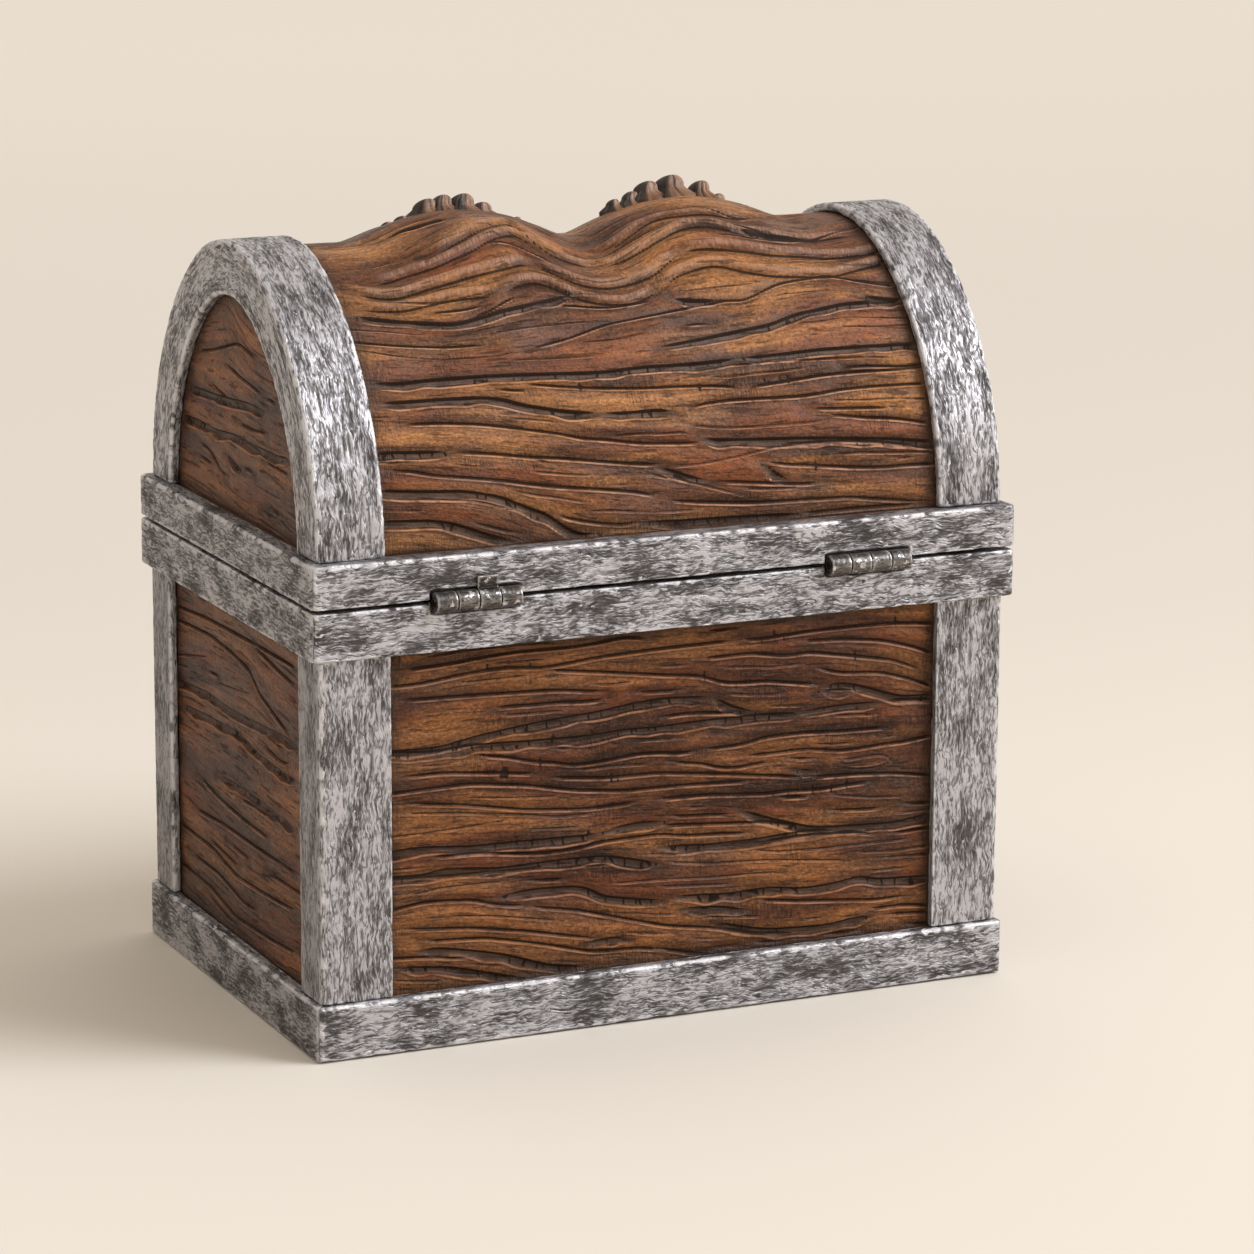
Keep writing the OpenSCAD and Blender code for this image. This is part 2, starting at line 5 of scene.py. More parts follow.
import bpy
import numpy as np
from mathutils import Matrix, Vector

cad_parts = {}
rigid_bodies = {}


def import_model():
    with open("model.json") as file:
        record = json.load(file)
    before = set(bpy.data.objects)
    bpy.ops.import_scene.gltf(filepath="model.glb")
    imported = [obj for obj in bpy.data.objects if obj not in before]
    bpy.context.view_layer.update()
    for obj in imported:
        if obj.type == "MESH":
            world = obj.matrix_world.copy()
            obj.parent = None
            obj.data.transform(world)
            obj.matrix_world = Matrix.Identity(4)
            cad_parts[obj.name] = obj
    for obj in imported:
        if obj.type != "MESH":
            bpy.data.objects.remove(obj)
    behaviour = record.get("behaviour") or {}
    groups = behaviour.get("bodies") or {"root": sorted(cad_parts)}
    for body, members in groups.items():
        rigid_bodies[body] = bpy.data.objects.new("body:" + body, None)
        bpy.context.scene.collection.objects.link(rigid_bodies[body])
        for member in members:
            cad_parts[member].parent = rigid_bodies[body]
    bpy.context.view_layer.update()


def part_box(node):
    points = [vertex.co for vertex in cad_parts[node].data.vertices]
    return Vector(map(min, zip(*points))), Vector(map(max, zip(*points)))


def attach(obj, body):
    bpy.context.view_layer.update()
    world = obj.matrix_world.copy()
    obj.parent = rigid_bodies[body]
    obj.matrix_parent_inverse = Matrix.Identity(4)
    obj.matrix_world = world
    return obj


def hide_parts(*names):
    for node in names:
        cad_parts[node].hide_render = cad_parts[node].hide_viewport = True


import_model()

bl_info = {
    "name": "Dice Box",
    "version": (1, 0, 0),
    "blender": (4, 5, 0),
    "location": "3D View > Sidebar > Dice Box",
    "description": "Carved wood, brushed metal bands, hinges and felt of a small chest",
    "category": "Object",
}

MM = 0.001

# The camera's place in the object's frame, in millimetres and degrees, and its focal
# length in pixels of the square picture
EYE = np.array([309.264, 695.232, 231.944])
AZIMUTH = 155.335
ELEVATION = 13.084
ROLL = 0.298
FOCAL = 4803.3
PICTURE = 1254
SENSOR = 36


def upright(back):
    """Level right and up vectors of something that faces against the unit vector back."""
    right = np.cross([0, 0, 1], back)
    right /= np.linalg.norm(right)
    return right, np.cross(back, right)


def camera_axes():
    """Right, up and back of the camera, as unit vectors."""
    az, el, roll = (math.radians(a) for a in (AZIMUTH, ELEVATION, ROLL))
    back = np.array([math.sin(az) * math.cos(el), -math.cos(az) * math.cos(el), math.sin(el)])
    right, up = upright(back)
    turned = math.cos(roll) * right + math.sin(roll) * up
    return turned, np.cross(back, turned), back


def rays(pixels):
    """Directions from the camera through picture points."""
    right, up, back = camera_axes()
    shift = (np.asarray(pixels, float) - PICTURE / 2) / FOCAL
    return -back + np.outer(shift[:, 0], right) - np.outer(shift[:, 1], up)


def on_plane(pixels, axis, place):
    """Where the rays of picture points meet a plane across one axis, in millimetres."""
    lines = rays(pixels)
    reach = (place - EYE[axis]) / lines[:, axis]
    return EYE + lines * reach[:, None]


# Outline of the lid in millimetres: two side arcs and a crown arc, measured above the
# spring line, which meet where the normal leans MEET degrees from +y. The barrel's outer
# face lies BARREL_INSET within it.
SPRING_Z = 78.0
SIDE_SET = 8.6
CROWN_SET = 14.9
SIDE_R = 46.0
CROWN_R = 28.8
MEET = 60.05
BARREL_INSET = 1.6
BARREL_THICK = 3.5

# The two brows on the barrel: how far from the middle, how wide inwards and outwards, how
# deep the dip between them is, how far they rise, and where they lie round the arch
BROW_X = 20.5
BROW_HALF_W = 19.0
BROW_OUTER_W = 17.0
BROW_DIP = 0.9
BROW_RISE = 4.0
BROW_Q = 92.0
BROW_HALF_Q = 46.0
BROW_POWER = 1.3

SIDE_RUN = (SIDE_R - BARREL_INSET) * math.radians(MEET)
CROWN_RUN = (CROWN_R - BARREL_INSET) * math.radians(180 - 2 * MEET)
ARCH_RUN = 2 * SIDE_RUN + CROWN_RUN
ARC_ANGLES = [0, MEET, 180 - MEET, 180]
ARC_RUNS = [0, SIDE_RUN, SIDE_RUN + CROWN_RUN, ARCH_RUN]


def arch_point(q, inset):
    """A point of the lid's outline, y and z, where its normal leans q degrees from +y."""
    q = np.asarray(q, float)
    left, right = q > 180 - MEET, q < MEET
    centre_y = np.where(right, -SIDE_SET, np.where(left, SIDE_SET, 0.0))
    centre_z = np.where(right | left, 0.0, CROWN_SET)
    radius = np.where(right | left, SIDE_R, CROWN_R) - inset
    angle = np.radians(q)
    return centre_y + radius * np.cos(angle), SPRING_Z + centre_z + radius * np.sin(angle)


def arch_place(y, z):
    """The normal angle of a point near the outline, and its distance outside the barrel."""
    up = np.asarray(z, float) - SPRING_Z
    y = np.asarray(y, float)
    away = np.abs(y)
    side = np.degrees(np.arctan2(up, away + SIDE_SET))
    crown = np.degrees(np.arctan2(up - CROWN_SET, away))
    low = side < MEET
    q = np.where(low, side, np.clip(crown, MEET, 90))
    out_side = np.hypot(away + SIDE_SET, up) - SIDE_R
    out_crown = np.hypot(away, up - CROWN_SET) - CROWN_R
    out = np.where(low, out_side, out_crown) + BARREL_INSET
    return np.where(y < 0, 180 - q, q), out


def run_of(q):
    """Length along the barrel from its back foot to the normal angle q."""
    return np.interp(q, ARC_ANGLES, ARC_RUNS)


def angle_of(run):
    """The normal angle at a length along the barrel."""
    return np.interp(run, ARC_RUNS, ARC_ANGLES)


def swell(u):
    """A smooth hump between -1 and 1."""
    return np.clip(1 - np.asarray(u) ** 2, 0, 1) ** BROW_POWER


def brow(x, q):
    """How far the barrel's two brows stand out, in millimetres."""
    away = np.abs(np.asarray(x, float)) - BROW_X
    across = BROW_RISE * swell(away / np.where(away > 0, BROW_OUTER_W, BROW_HALF_W))
    dip = BROW_DIP * np.exp(-(np.asarray(x, float) / 6.0) ** 2)
    return swell((q - BROW_Q) / BROW_HALF_Q) * (across - dip)


# Nearest and farthest that a ray from the camera can meet the barrel, in millimetres
BARREL_AWAY = (620, 880)


def on_barrel(pixels):
    """Where picture points fall on the barrel: place across it and length along it."""
    lines = rays(pixels)
    steps = np.linspace(*BARREL_AWAY, 1301)
    points = EYE + lines[:, None, :] * steps[None, :, None]
    q, out = arch_place(points[..., 1], points[..., 2])
    inside = (out < brow(points[..., 0], q)) & (points[..., 2] > SPRING_Z - 6)
    first = np.argmax(inside, axis=1)
    found = inside.any(axis=1)
    pick = points[np.arange(len(lines)), first]
    angle, _ = arch_place(pick[:, 1], pick[:, 2])
    return np.column_stack([pick[:, 0], run_of(angle)])[found]


# Carved lines, as picture points along each line. The first letter says how deep it is:
# S strong, M middling, L light, and R is a raised strand with a crease below its crest.
# Numbers after "|" are the columns of short cross cuts.
BACK_LINES = """
M 403,671 437,666 461,662 480,658 517,652 573,647 605,642 621,637 655,639|486
M 700,633 735,628 745,624
M 393,687 421,684 461,675 489,670 505,668 543,668 560,665 600,657 660,649 685,646 739,640|488 531
M 739,640 761,639 785,635 819,630 855,626 895,623 932,623|761 775 783 896
M 545,670 600,672 660,675 699,676 713,679 721,683 743,683 767,681 811,684 821,686|705 735
M 401,701 465,696 525,692 557,690 607,692
S 392,752 421,750 445,747 473,738 497,732 549,721 601,712 625,706 660,699 685,698 711,697
S 711,697 723,702 735,708 759,713
S 392,754 433,753 479,745 525,742 593,736 625,730 655,728 705,721 761,715 799,713|499 553 593
S 799,713 821,709 845,705 883,702
M 655,719 673,715 691,713 745,713
M 883,701 932,699
M 473,755 505,757 541,763 557,762 571,766 605,761 639,754 660,753 681,754 700,750|540 568 639
M 700,750 741,745 767,737 799,733 843,731 891,727|825
L 411,766 441,766 459,761 473,756
M 400,778 440,773 497,773 541,774|500 504 507
M 551,778 605,778 639,775 660,773 715,774 785,776 807,778|611 617 625 632
M 807,778 855,774 895,773 931,775
M 393,794 421,790 469,784 525,785 573,790 625,791 685,785 753,781
M 799,641 843,639 881,640 911,646 931,652
M 700,659 735,655 751,653 787,656 807,652 855,656 895,660 925,671|855
M 813,667 841,673 881,672 911,679 929,685
S 823,687 835,684 851,684 879,691 901,697 932,695
S 819,691 859,690
L 694,734 719,736
M 667,762 705,764 719,768 739,768 763,762 773,764
M 741,757 783,752 805,749 841,751 863,748 885,744 905,742 932,735
L 832,762 855,758 881,754 894,757 893,762 881,766 867,769 845,769 835,766
S 793,770 819,771
M 655,800 705,795 767,794 787,791 813,790 831,788 847,785 875,781|787 813 831 847
L 823,794 867,797 913,796
M 407,804 465,805 525,810 585,809 621,805 641,801
L 397,814 460,813 533,815 557,817 605,812
L 392,837 441,831 497,822 517,819
S 392,853 421,848 475,847 499,844 533,841 589,836 605,832|499 518 533 552 567 580 589
S 605,832 621,827 641,823 665,822
M 427,858 481,853 540,854 581,848 601,842 645,836 665,834 683,836 715,834 753,833
S 392,878 427,876 437,871 460,869 497,869 557,861 605,856 641,861 660,864
L 392,881 460,876 513,871 557,866
L 400,898 441,888 485,883 513,881
M 392,911 425,902 477,900 493,905 529,906|483
S 503,896 533,890 573,887 587,888 595,892 601,897 641,900 665,901
L 603,884 641,881 665,879 715,877 755,873 783,873
M 529,907 577,910 621,918 665,926 715,928 755,934 799,934
L 440,916 497,916 565,921
M 400,930 469,928 525,931 581,937 600,939
S 585,943 621,937 631,941
M 421,942 485,938 541,944 593,952 641,948 665,950
S 420,951 433,949 460,950 505,955 549,966 585,967
S 400,968 453,968 497,975 529,980 581,973 641,967
L 439,990 505,985
S 740,810 767,818 813,828 855,826 895,823 931,814
M 660,826 711,824 767,822 803,827
S 660,847 711,845 755,840 795,833 835,830
M 759,844 799,837 855,832 879,835
L 745,849 775,852 825,848 885,841 915,838
L 660,862 711,863 767,860 855,860
S 675,897 735,894 755,890 775,888 803,889 835,884 863,876 875,880 931,876
M 757,900 799,901 851,900 875,900 911,895
S 683,909 719,907 751,911
M 865,910 901,905 931,905
S 715,923 755,929 775,930 825,926 861,917 874,915
L 680,938 725,939
M 715,948 741,945
M 655,948 695,954 731,955 779,949 840,943
"""

SIDE_LINES = """
M 177,606 210,620 250,642 281,660 296,669
M 176,619 209,635 230,652 249,670 258,694 281,726 289,735
M 250,643 274,668 296,688
L 177,654 211,657
L 213,681 240,691 255,695
S 177,680 206,693 233,712 267,729 296,745
S 182,704 209,718 238,733 255,752 279,772 296,782
M 260,743 279,762 289,765
S 218,775 245,791 269,809 296,832
M 197,774 218,798 240,817 269,840
M 194,808 221,823 255,847 281,864 296,875
M 180,823 213,849 235,876 262,893 296,912
M 189,851 218,874 243,903 257,912
M 180,862 209,886 235,917 269,939 296,954
"""

END_LINES = """
M 196,350 210,350 222,347 236,343 244,349 256,361
M 236,336 238,346
L 205,362 214,360 220,359
M 220,360 230,369 236,375 240,379 248,384 256,391 262,395
M 262,397 268,400 278,406
S 188,386 204,391 220,397 232,400 244,403 256,408 264,413
M 206,380 214,387 220,393 228,399
S 180,414 196,420 206,425 216,431 230,434 240,438 250,445 262,450 276,457 288,459
M 236,421 246,428 254,431 264,433 268,437
M 196,437 202,445 210,451 214,460 218,468 224,477 228,481
S 226,453 232,461 242,472
M 240,466 250,471 256,477
M 262,460 272,466 282,472 290,477
L 202,468 216,474 224,484 234,493 244,501 256,508
L 254,470 262,470 272,478 284,490 292,497
M 268,507 274,513 282,518
L 178,456 190,462 205,470
L 176,478 190,486 204,497
"""

BARREL_LINES = """
S 380,240 400,230 423,223 450,216
R 429,252 442,244 457,235 475,225 496,220 511,221 532,236 547,248 563,256 578,261 594,263
R 594,263 609,260 625,254 640,245 656,235 671,226 687,221 711,221 740,228 790,236 850,231
R 599,249 614,241 627,231 640,221 658,214 676,212 692,210 710,210 728,214 753,220
R 367,279 382,278 406,270 431,262 457,250 470,244 480,237 496,231 511,229 524,234 545,250
R 352,288 382,294 400,292 418,286 434,281 444,278 462,272 483,267 501,262 516,258 532,258
R 532,258 547,265 563,272 578,279 594,283 609,283 625,280 640,275 650,270 663,257 675,247
R 675,247 688,243 705,242 717,242 741,245 771,249 810,252 844,253 875,247
R 352,303 382,306 403,305 424,300 444,295 465,292 480,290 494,289
R 496,289 511,280 532,276 547,279 563,286 578,293 594,297 614,299 630,298 645,291 656,283
R 656,283 671,271 687,265 702,260 723,260 741,265 771,270 828,272 875,259
S 352,316 400,321 456,324 506,309 536,303 576,293
M 466,318 489,311 509,298 523,294
M 526,349 566,339 606,324 645,316 685,308 725,299 742,301 778,283 828,275 861,281 891,285
S 668,298 700,300 722,300
S 655,348 712,336 771,324 795,314 844,303 900,299
S 735,229 750,231 765,235 785,238 808,240
M 722,223 778,238 811,240 861,226
M 599,240 625,223 652,213 698,207 738,220 795,222
L 600,225 632,213 660,206 690,203
S 858,294 875,297 900,299
L 845,277 860,280 892,283
L 620,360 640,352 655,346
L 350,300 400,305 440,303 480,294 500,291
L 352,350 400,357 440,360 500,356 526,349
S 370,384 400,383 440,379 480,376 520,374 560,373 600,372 640,367 700,363 740,358
S 740,358 780,354 820,349 860,346 915,343
L 700,367 740,364 780,361 820,359 860,357 900,357
M 520,383 560,386 600,388 640,388 680,386 710,385 745,387|580 700
M 745,387 765,384 790,380 820,375 860,371 900,369 922,367|765 772 780 788
M 840,367 870,365 905,366 922,364
S 378,403 400,402 440,399 480,397 502,398 520,404 540,407 560,410 580,412 600,413
S 600,413 625,413 645,411 662,409 676,413|672
M 680,410 705,403 730,400 760,398 800,396 820,393 840,389 870,386 922,383|805
M 822,414 845,415 865,417 895,418 925,422
L 680,424 720,428 760,426 800,423 830,420
M 400,424 440,423 480,424 510,427 540,431 560,433 580,438 600,439 640,443 680,443 705,442
S 700,438 720,440 760,439 800,438 840,438 870,438 900,439 930,441
L 600,437 620,435 640,433 660,434 685,431 700,438
M 780,443 800,443 820,441 850,440 880,441 925,446
L 660,467 700,464 740,456 760,450 780,446 800,444
L 510,446 530,448 550,449
S 380,453 420,452 450,452
M 450,452 480,453 500,454 530,457 560,458 600,461 640,464 665,464
M 525,458 545,461 558,465
M 385,470 410,471 430,475 460,477 500,480 530,484 560,487 600,489 640,492 660,497|572 655
L 600,485 620,485 640,484
S 386,491 430,492 460,491 485,494 505,498 520,505 535,510 552,517 565,528 580,535 600,534
M 552,513 570,519 595,523 620,525 645,522
S 645,522 680,521 720,518 760,516 800,514
M 800,514 860,508 925,503
S 386,522 430,521 450,523 470,529 490,536 512,541
S 655,467 672,470 690,477 710,481
M 710,481 745,482 775,483 800,484 825,482
S 762,460 770,469 782,477 793,483
M 762,461 785,464 815,465 850,467 880,467 905,465 935,463|815
L 735,487 755,489 780,488 810,487
L 640,473 660,476 700,484 735,493 758,499
M 665,500 700,502 750,503 800,500 850,497 880,499 925,502|850
L 820,455 860,452 900,452 930,451
L 880,459 925,456
"""

# How each kind of line is cut, in millimetres: its depth, the width of its flat floor, how
# far below that its raised lip runs, the lip's height, and how boldly both are painted
CUTS = {"S": (0.52, 1.0, 0.34, 0.18, 1.02), "M": (0.28, 0.0, 0.44, 0.15, 0.98),
        "L": (0.13, 0.0, 0.36, 0.08, 0.9), "R": (0.24, 0.0, 0.0, 0.44, 0.98)}
CROSS_CUT = (0.28, 0.0, 0.3, 0.05, 0.95)
# Half width of a raised strand, and how far below its crest its crease runs
RIDGE_W = 0.8
RIDGE_SET = 1.25
# Half widths of a line without a floor, and of a raised lip
CREASE_W = 0.2
LIP_W = 0.19
# How far from a line the wood between the lines swells up, and how much
SWELL_REACH = 1.25
SWELL_RISE = 0.26
# How far a line's direction is felt by the grain around it
FLOW_REACH = 2.6
# How far a filler line keeps off the others where it starts, and along its run
FILLER_START = 1.25
FILLER_KEEP = 0.9
# How far from a panel's sides a line's end has to lie to thin out
FREE_END = 1.2


def read_lines(text, project):
    """Carved lines as (kind, points on the surface, is a cross cut)."""
    lines = []
    for row in text.strip().splitlines():
        body, _, cuts = row.partition("|")
        kind, *pairs = body.split()
        pixels = np.array([[float(v) for v in pair.split(",")] for pair in pairs])
        points = project(pixels)
        if len(points) > 1:
            lines.append((kind, points, False))
        for column in map(float, cuts.split()):
            height = np.interp(column, pixels[:, 0], pixels[:, 1])
            cut = project(np.array([[column, height - 5], [column + 1, height + 5]]))
            if len(cut) == 2:
                lines.append(("L", cut, True))
    return lines


def smooth_line(points, step):
    """A line through the points with even short steps and rounded corners."""
    points = np.asarray(points, float)
    run = np.concatenate([[0], np.cumsum(np.hypot(*np.diff(points, axis=0).T))])
    count = max(3, int(run[-1] / step) + 1)
    at = np.linspace(0, run[-1], count)
    line = np.column_stack([np.interp(at, run, points[:, i]) for i in (0, 1)])
    for _ in range(4):
        inner = (line[:-2] + 2 * line[1:-1] + line[2:]) / 4
        line[1:-1] = inner
    return line


def between(grid, i, j, i1, j1, a, b):
    """Values between four corners of a grid."""
    low = grid[i, j] * (1 - a) + grid[i1, j] * a
    high = grid[i, j1] * (1 - a) + grid[i1, j1] * a
    return low * (1 - b) + high * b


def noise_2d(u, v, seed):
    """Smooth noise from -1 to 1 on a lattice with a step of 1."""
    lattice = np.random.default_rng(seed).uniform(-1, 1, (256, 256))
    i, j = np.floor(u).astype(int), np.floor(v).astype(int)
    a, b = u - i, v - j
    a, b = a * a * (3 - 2 * a), b * b * (3 - 2 * b)
    return between(lattice, i % 256, j % 256, (i + 1) % 256, (j + 1) % 256, a, b)


def flow_field(lines, low, high, step):
    """Heights that follow the carved lines, on a coarse lattice."""
    nu = max(6, int((high[0] - low[0]) / step) + 1)
    nv = max(6, int((high[1] - low[1]) / step) + 1)
    us, vs = np.linspace(low[0], high[0], nu), np.linspace(low[1], high[1], nv)
    grid_u, grid_v = np.meshgrid(us, vs, indexing="ij")
    middles, slopes = [], []
    for _, points, cut in lines:
        if cut:
            continue
        line = smooth_line(points, 2.0)
        run, rise = np.diff(line, axis=0).T
        keep = np.abs(run) > 0.25 * np.abs(rise)
        middles.append(((line[1:] + line[:-1]) / 2)[keep])
        slopes.append(np.clip(rise[keep] / run[keep], -1.6, 1.6))
    middles, slopes = np.concatenate(middles), np.concatenate(slopes)
    away = (grid_u[..., None] - middles[:, 0]) ** 2 + (grid_v[..., None] - middles[:, 1]) ** 2
    weight = np.exp(-away / (2 * FLOW_REACH ** 2))
    slope = (weight * slopes).sum(-1) / (weight.sum(-1) + 0.05)
    du, dv = us[1] - us[0], vs[1] - vs[0]
    index = np.arange(nu * nv).reshape(nu, nv)
    here, right, above = index[:-1, :-1].ravel(), index[1:, :-1].ravel(), index[:-1, 1:].ravel()
    cell = slope[:-1, :-1].ravel()
    share = 0.3
    normal, wanted = np.zeros((nu * nv, nu * nv)), np.zeros(nu * nv)
    along = [(here, -1 / du - cell / dv), (right, 1 / du), (above, cell / dv)]
    upward = [(here, -share / dv), (above, share / dv)]
    for terms, goal in ((along, 0.0), (upward, share)):
        for one, weight_one in terms:
            np.add.at(wanted, one, weight_one * goal)
            for other, weight_other in terms:
                np.add.at(normal, (one, other), weight_one * weight_other)
    normal[np.diag_indices_from(normal)] += 1e-5
    return us, vs, np.linalg.solve(normal, wanted).reshape(nu, nv)


def sample_field(field, u, v):
    """Bilinear reading of a coarse lattice."""
    us, vs, heights = field
    a = np.clip((u - us[0]) / (us[1] - us[0]), 0, len(us) - 1.001)
    b = np.clip((v - vs[0]) / (vs[1] - vs[0]), 0, len(vs) - 1.001)
    i, j = a.astype(int), b.astype(int)
    return between(heights, i, j, i + 1, j + 1, a - i, b - j)


def level_line(field, seat, length, low, high):
    """Points that follow the grain through a seat."""
    level = sample_field(field, *seat)
    columns = np.linspace(low[1], high[1], 120)
    us = np.arange(seat[0] - length / 2, seat[0] + length / 2, 1.2)
    us = us[(us > low[0] - 1) & (us < high[0] + 1)]
    vs = [np.interp(level, sample_field(field, np.full(len(columns), u), columns), columns)
          for u in us]
    return np.column_stack([us, vs])


def filler_lines(lines, field, low, high, count, seed):
    """Short light lines that follow the flow, set in the gaps between the others."""
    rng = np.random.default_rng(seed)
    taken = np.concatenate([smooth_line(p, 1.0) for _, p, cut in lines if not cut])
    added = []
    for _ in range(count * 6):
        if len(added) >= count:
            break
        seat = rng.uniform(low, high)
        length, kind = rng.uniform(7, 26), rng.choice(["L", "L", "M"])
        if np.min(np.hypot(*(taken - seat).T)) < FILLER_START:
            continue
        points = level_line(field, seat, length, low, high)
        if len(points) < 4 or (np.abs(np.diff(points[:, 1])) > 1.1).any():
            continue
        points[:, 1] += 0.25 * noise_2d(points[:, 0] * 0.22, np.full(len(points), seat[1]), seed)
        away = points[:, None] - taken
        clear = np.min(np.hypot(away[..., 0], away[..., 1]), 1) > FILLER_KEEP
        start = int(np.argmin(np.abs(points[:, 0] - seat[0])))
        first, last = start, start
        while first > 0 and clear[first - 1]:
            first -= 1
        while last < len(points) - 1 and clear[last + 1]:
            last += 1
        if last - first < 4:
            continue
        points = points[first:last + 1]
        added.append((kind, points, False))
        taken = np.concatenate([taken, smooth_line(points, 1.0)])
    return added


def even(low, high, step):
    """Even places from low to high, about a step apart."""
    return np.linspace(low, high, int(round((high - low) / step)) + 1)


def patch_of(line, reach, us, vs):
    """The part of a grid that lies within reach of a line."""
    parts = []
    for axis, places_on in enumerate((us, vs)):
        first = max(0, np.searchsorted(places_on, line[:, axis].min() - reach))
        last = min(len(places_on), np.searchsorted(places_on, line[:, axis].max() + reach))
        parts.append(slice(first, last))
    return tuple(parts)


def along_line(line, u, v):
    """How far points lie from a line, signed by its side, and where along it from 0 to 1."""
    pu, pv = u.ravel()[:, None], v.ravel()[:, None]
    a, along = line[:-1], line[1:] - line[:-1]
    size = (along ** 2).sum(1)
    share = np.clip(((pu - a[:, 0]) * along[:, 0] + (pv - a[:, 1]) * along[:, 1]) / size, 0, 1)
    away = np.hypot(pu - a[:, 0] - share * along[:, 0], pv - a[:, 1] - share * along[:, 1])
    best = np.argmin(away, axis=1)
    pick = np.arange(len(best))
    rise, run = pv[:, 0] - a[best, 1], pu[:, 0] - a[best, 0]
    side = np.sign(along[best, 0] * rise - along[best, 1] * run)
    side = side * np.sign(line[-1, 0] - line[0, 0] + 1e-9)
    return away[pick, best] * side, (best + share[pick, best]) / (len(line) - 1)


def taper_of(line, at, low, high):
    """How a line thins out towards those of its ends that lie free of the frame."""
    ends = line[[0, -1], 0]
    free = (ends > low + FREE_END) & (ends < high - FREE_END)
    start = np.clip(at * (len(line) - 1) / 4, 0.1, 1) if free[0] else 1.0
    stop = np.clip((1 - at) * (len(line) - 1) / 4, 0.1, 1) if free[1] else 1.0
    return np.minimum(start, stop) ** 0.7


def carve(lines, us, vs, seed, fillers):
    """Relief in millimetres, flow and paint marks on a grid over a panel."""
    rng = np.random.default_rng(seed)
    low, high = (us[0], vs[0]), (us[-1], vs[-1])
    u, v = np.meshgrid(us, vs, indexing="ij")
    field = flow_field(lines, low, high, max((high[0] - low[0]) / 42, (high[1] - low[1]) / 42))
    lines = lines + filler_lines(lines, field, low, high, fillers, seed)
    flow = sample_field(field, u, v)
    sunk, raised, near = np.zeros(u.shape), np.zeros(u.shape), np.full(u.shape, 9.0)
    marks = {name: np.zeros(u.shape) for name in ("line", "lip", "floor", "ridge")}
    for kind, points, is_cut in lines:
        depth, floor, drop, rise, bold = CROSS_CUT if is_cut else CUTS[kind]
        line = smooth_line(points, 0.25 if is_cut else 0.8)
        part = patch_of(line, 0.8 if is_cut else 3.2, us, vs)
        if min(u[part].shape) < 2:
            continue
        d, at = along_line(line, u[part], v[part])
        run = at * len(line) * 0.8
        waver = 1 + 0.3 * noise_2d(run * 0.35, np.full(run.shape, rng.uniform(0, 99)), seed + 5)
        taper = 1.0 if is_cut else taper_of(line, at, low[0], high[0])
        ridge = 0.0
        if kind == "R":
            ridge = taper * (0.8 + 0.2 * waver) * np.exp(-(d / RIDGE_W) ** 2)
            d = d + RIDGE_SET
        plain = kind == "R" or is_cut
        lower = floor * waver * (0.35 + 0.65 * taper)
        if floor:
            step = np.clip(0.5 + (lower / 2 - np.abs(d + lower / 2)) / 0.3, 0, 1)
            hollow = step * step * (3 - 2 * step)
        else:
            step, hollow = 0.0, np.exp(-(d / CREASE_W) ** 2)
        lip_d = d + lower + drop
        fading = bold * np.minimum(1, taper ** 0.25 * (0.86 + 0.14 * waver))
        beside = np.maximum(np.abs(d + lower / 2) - lower / 2, 0)
        crest = rise * (ridge if plain else taper * np.exp(-(lip_d / LIP_W) ** 2))
        for target, values in (
                (marks["line"], fading * np.clip(1 - np.abs(d - 0.03), 0, 1)),
                (marks["lip"], (not plain) * fading * np.clip(1 - np.abs(lip_d), 0, 1)),
                (marks["floor"], step), (marks["ridge"], ridge),
                (sunk, depth * taper * waver * hollow), (raised, crest)):
            values = (values * np.ones(len(d))).reshape(u[part].shape)
            target[part] = np.maximum(target[part], values)
        if kind != "L" and not is_cut:
            near[part] = np.minimum(near[part], beside.reshape(u[part].shape))
    swollen = 1 - np.exp(-(near / SWELL_REACH) ** 2)
    strands = 0.075 * noise_2d(u * 0.06, flow * 0.8, seed + 1)
    strands += 0.04 * noise_2d(u * 0.2, flow * 2.1, seed + 2)
    strands += 0.02 * noise_2d(u * 0.9, flow * 3.0, seed + 3)
    relief = SWELL_RISE * swollen + strands + raised * (1 - marks["floor"]) - sunk
    return {"u": u, "v": v, "flow": flow, "relief": relief, "swell": swollen, **marks}


def deselect():
    """Nothing is selected or active when a new piece starts."""
    for item in bpy.context.view_layer.objects.selected:
        item.select_set(False)
    bpy.context.view_layer.objects.active = None


def choose(piece):
    """Only this piece is selected and active."""
    deselect()
    piece.select_set(True)
    bpy.context.view_layer.objects.active = piece


def read_rows(data, key):
    """A vector of each item, one row each."""
    found = np.empty(len(data) * 3, np.float32)
    data.foreach_get(key, found)
    return found.reshape(-1, 3).astype(float)


def places(piece):
    """The piece's points, one row each, in metres."""
    return read_rows(piece.data.vertices, "co")


def move_points(piece, points):
    """Puts the piece's points at new places."""
    piece.data.vertices.foreach_set("co", np.asarray(points, np.float32).ravel())
    piece.data.update()


def keep_vector(piece, name, values):
    """Stores a vector on each point under a name that materials read."""
    mark = piece.data.attributes.new(name, "FLOAT_VECTOR", "POINT")
    mark.data.foreach_set("vector", np.asarray(values, np.float32).ravel())


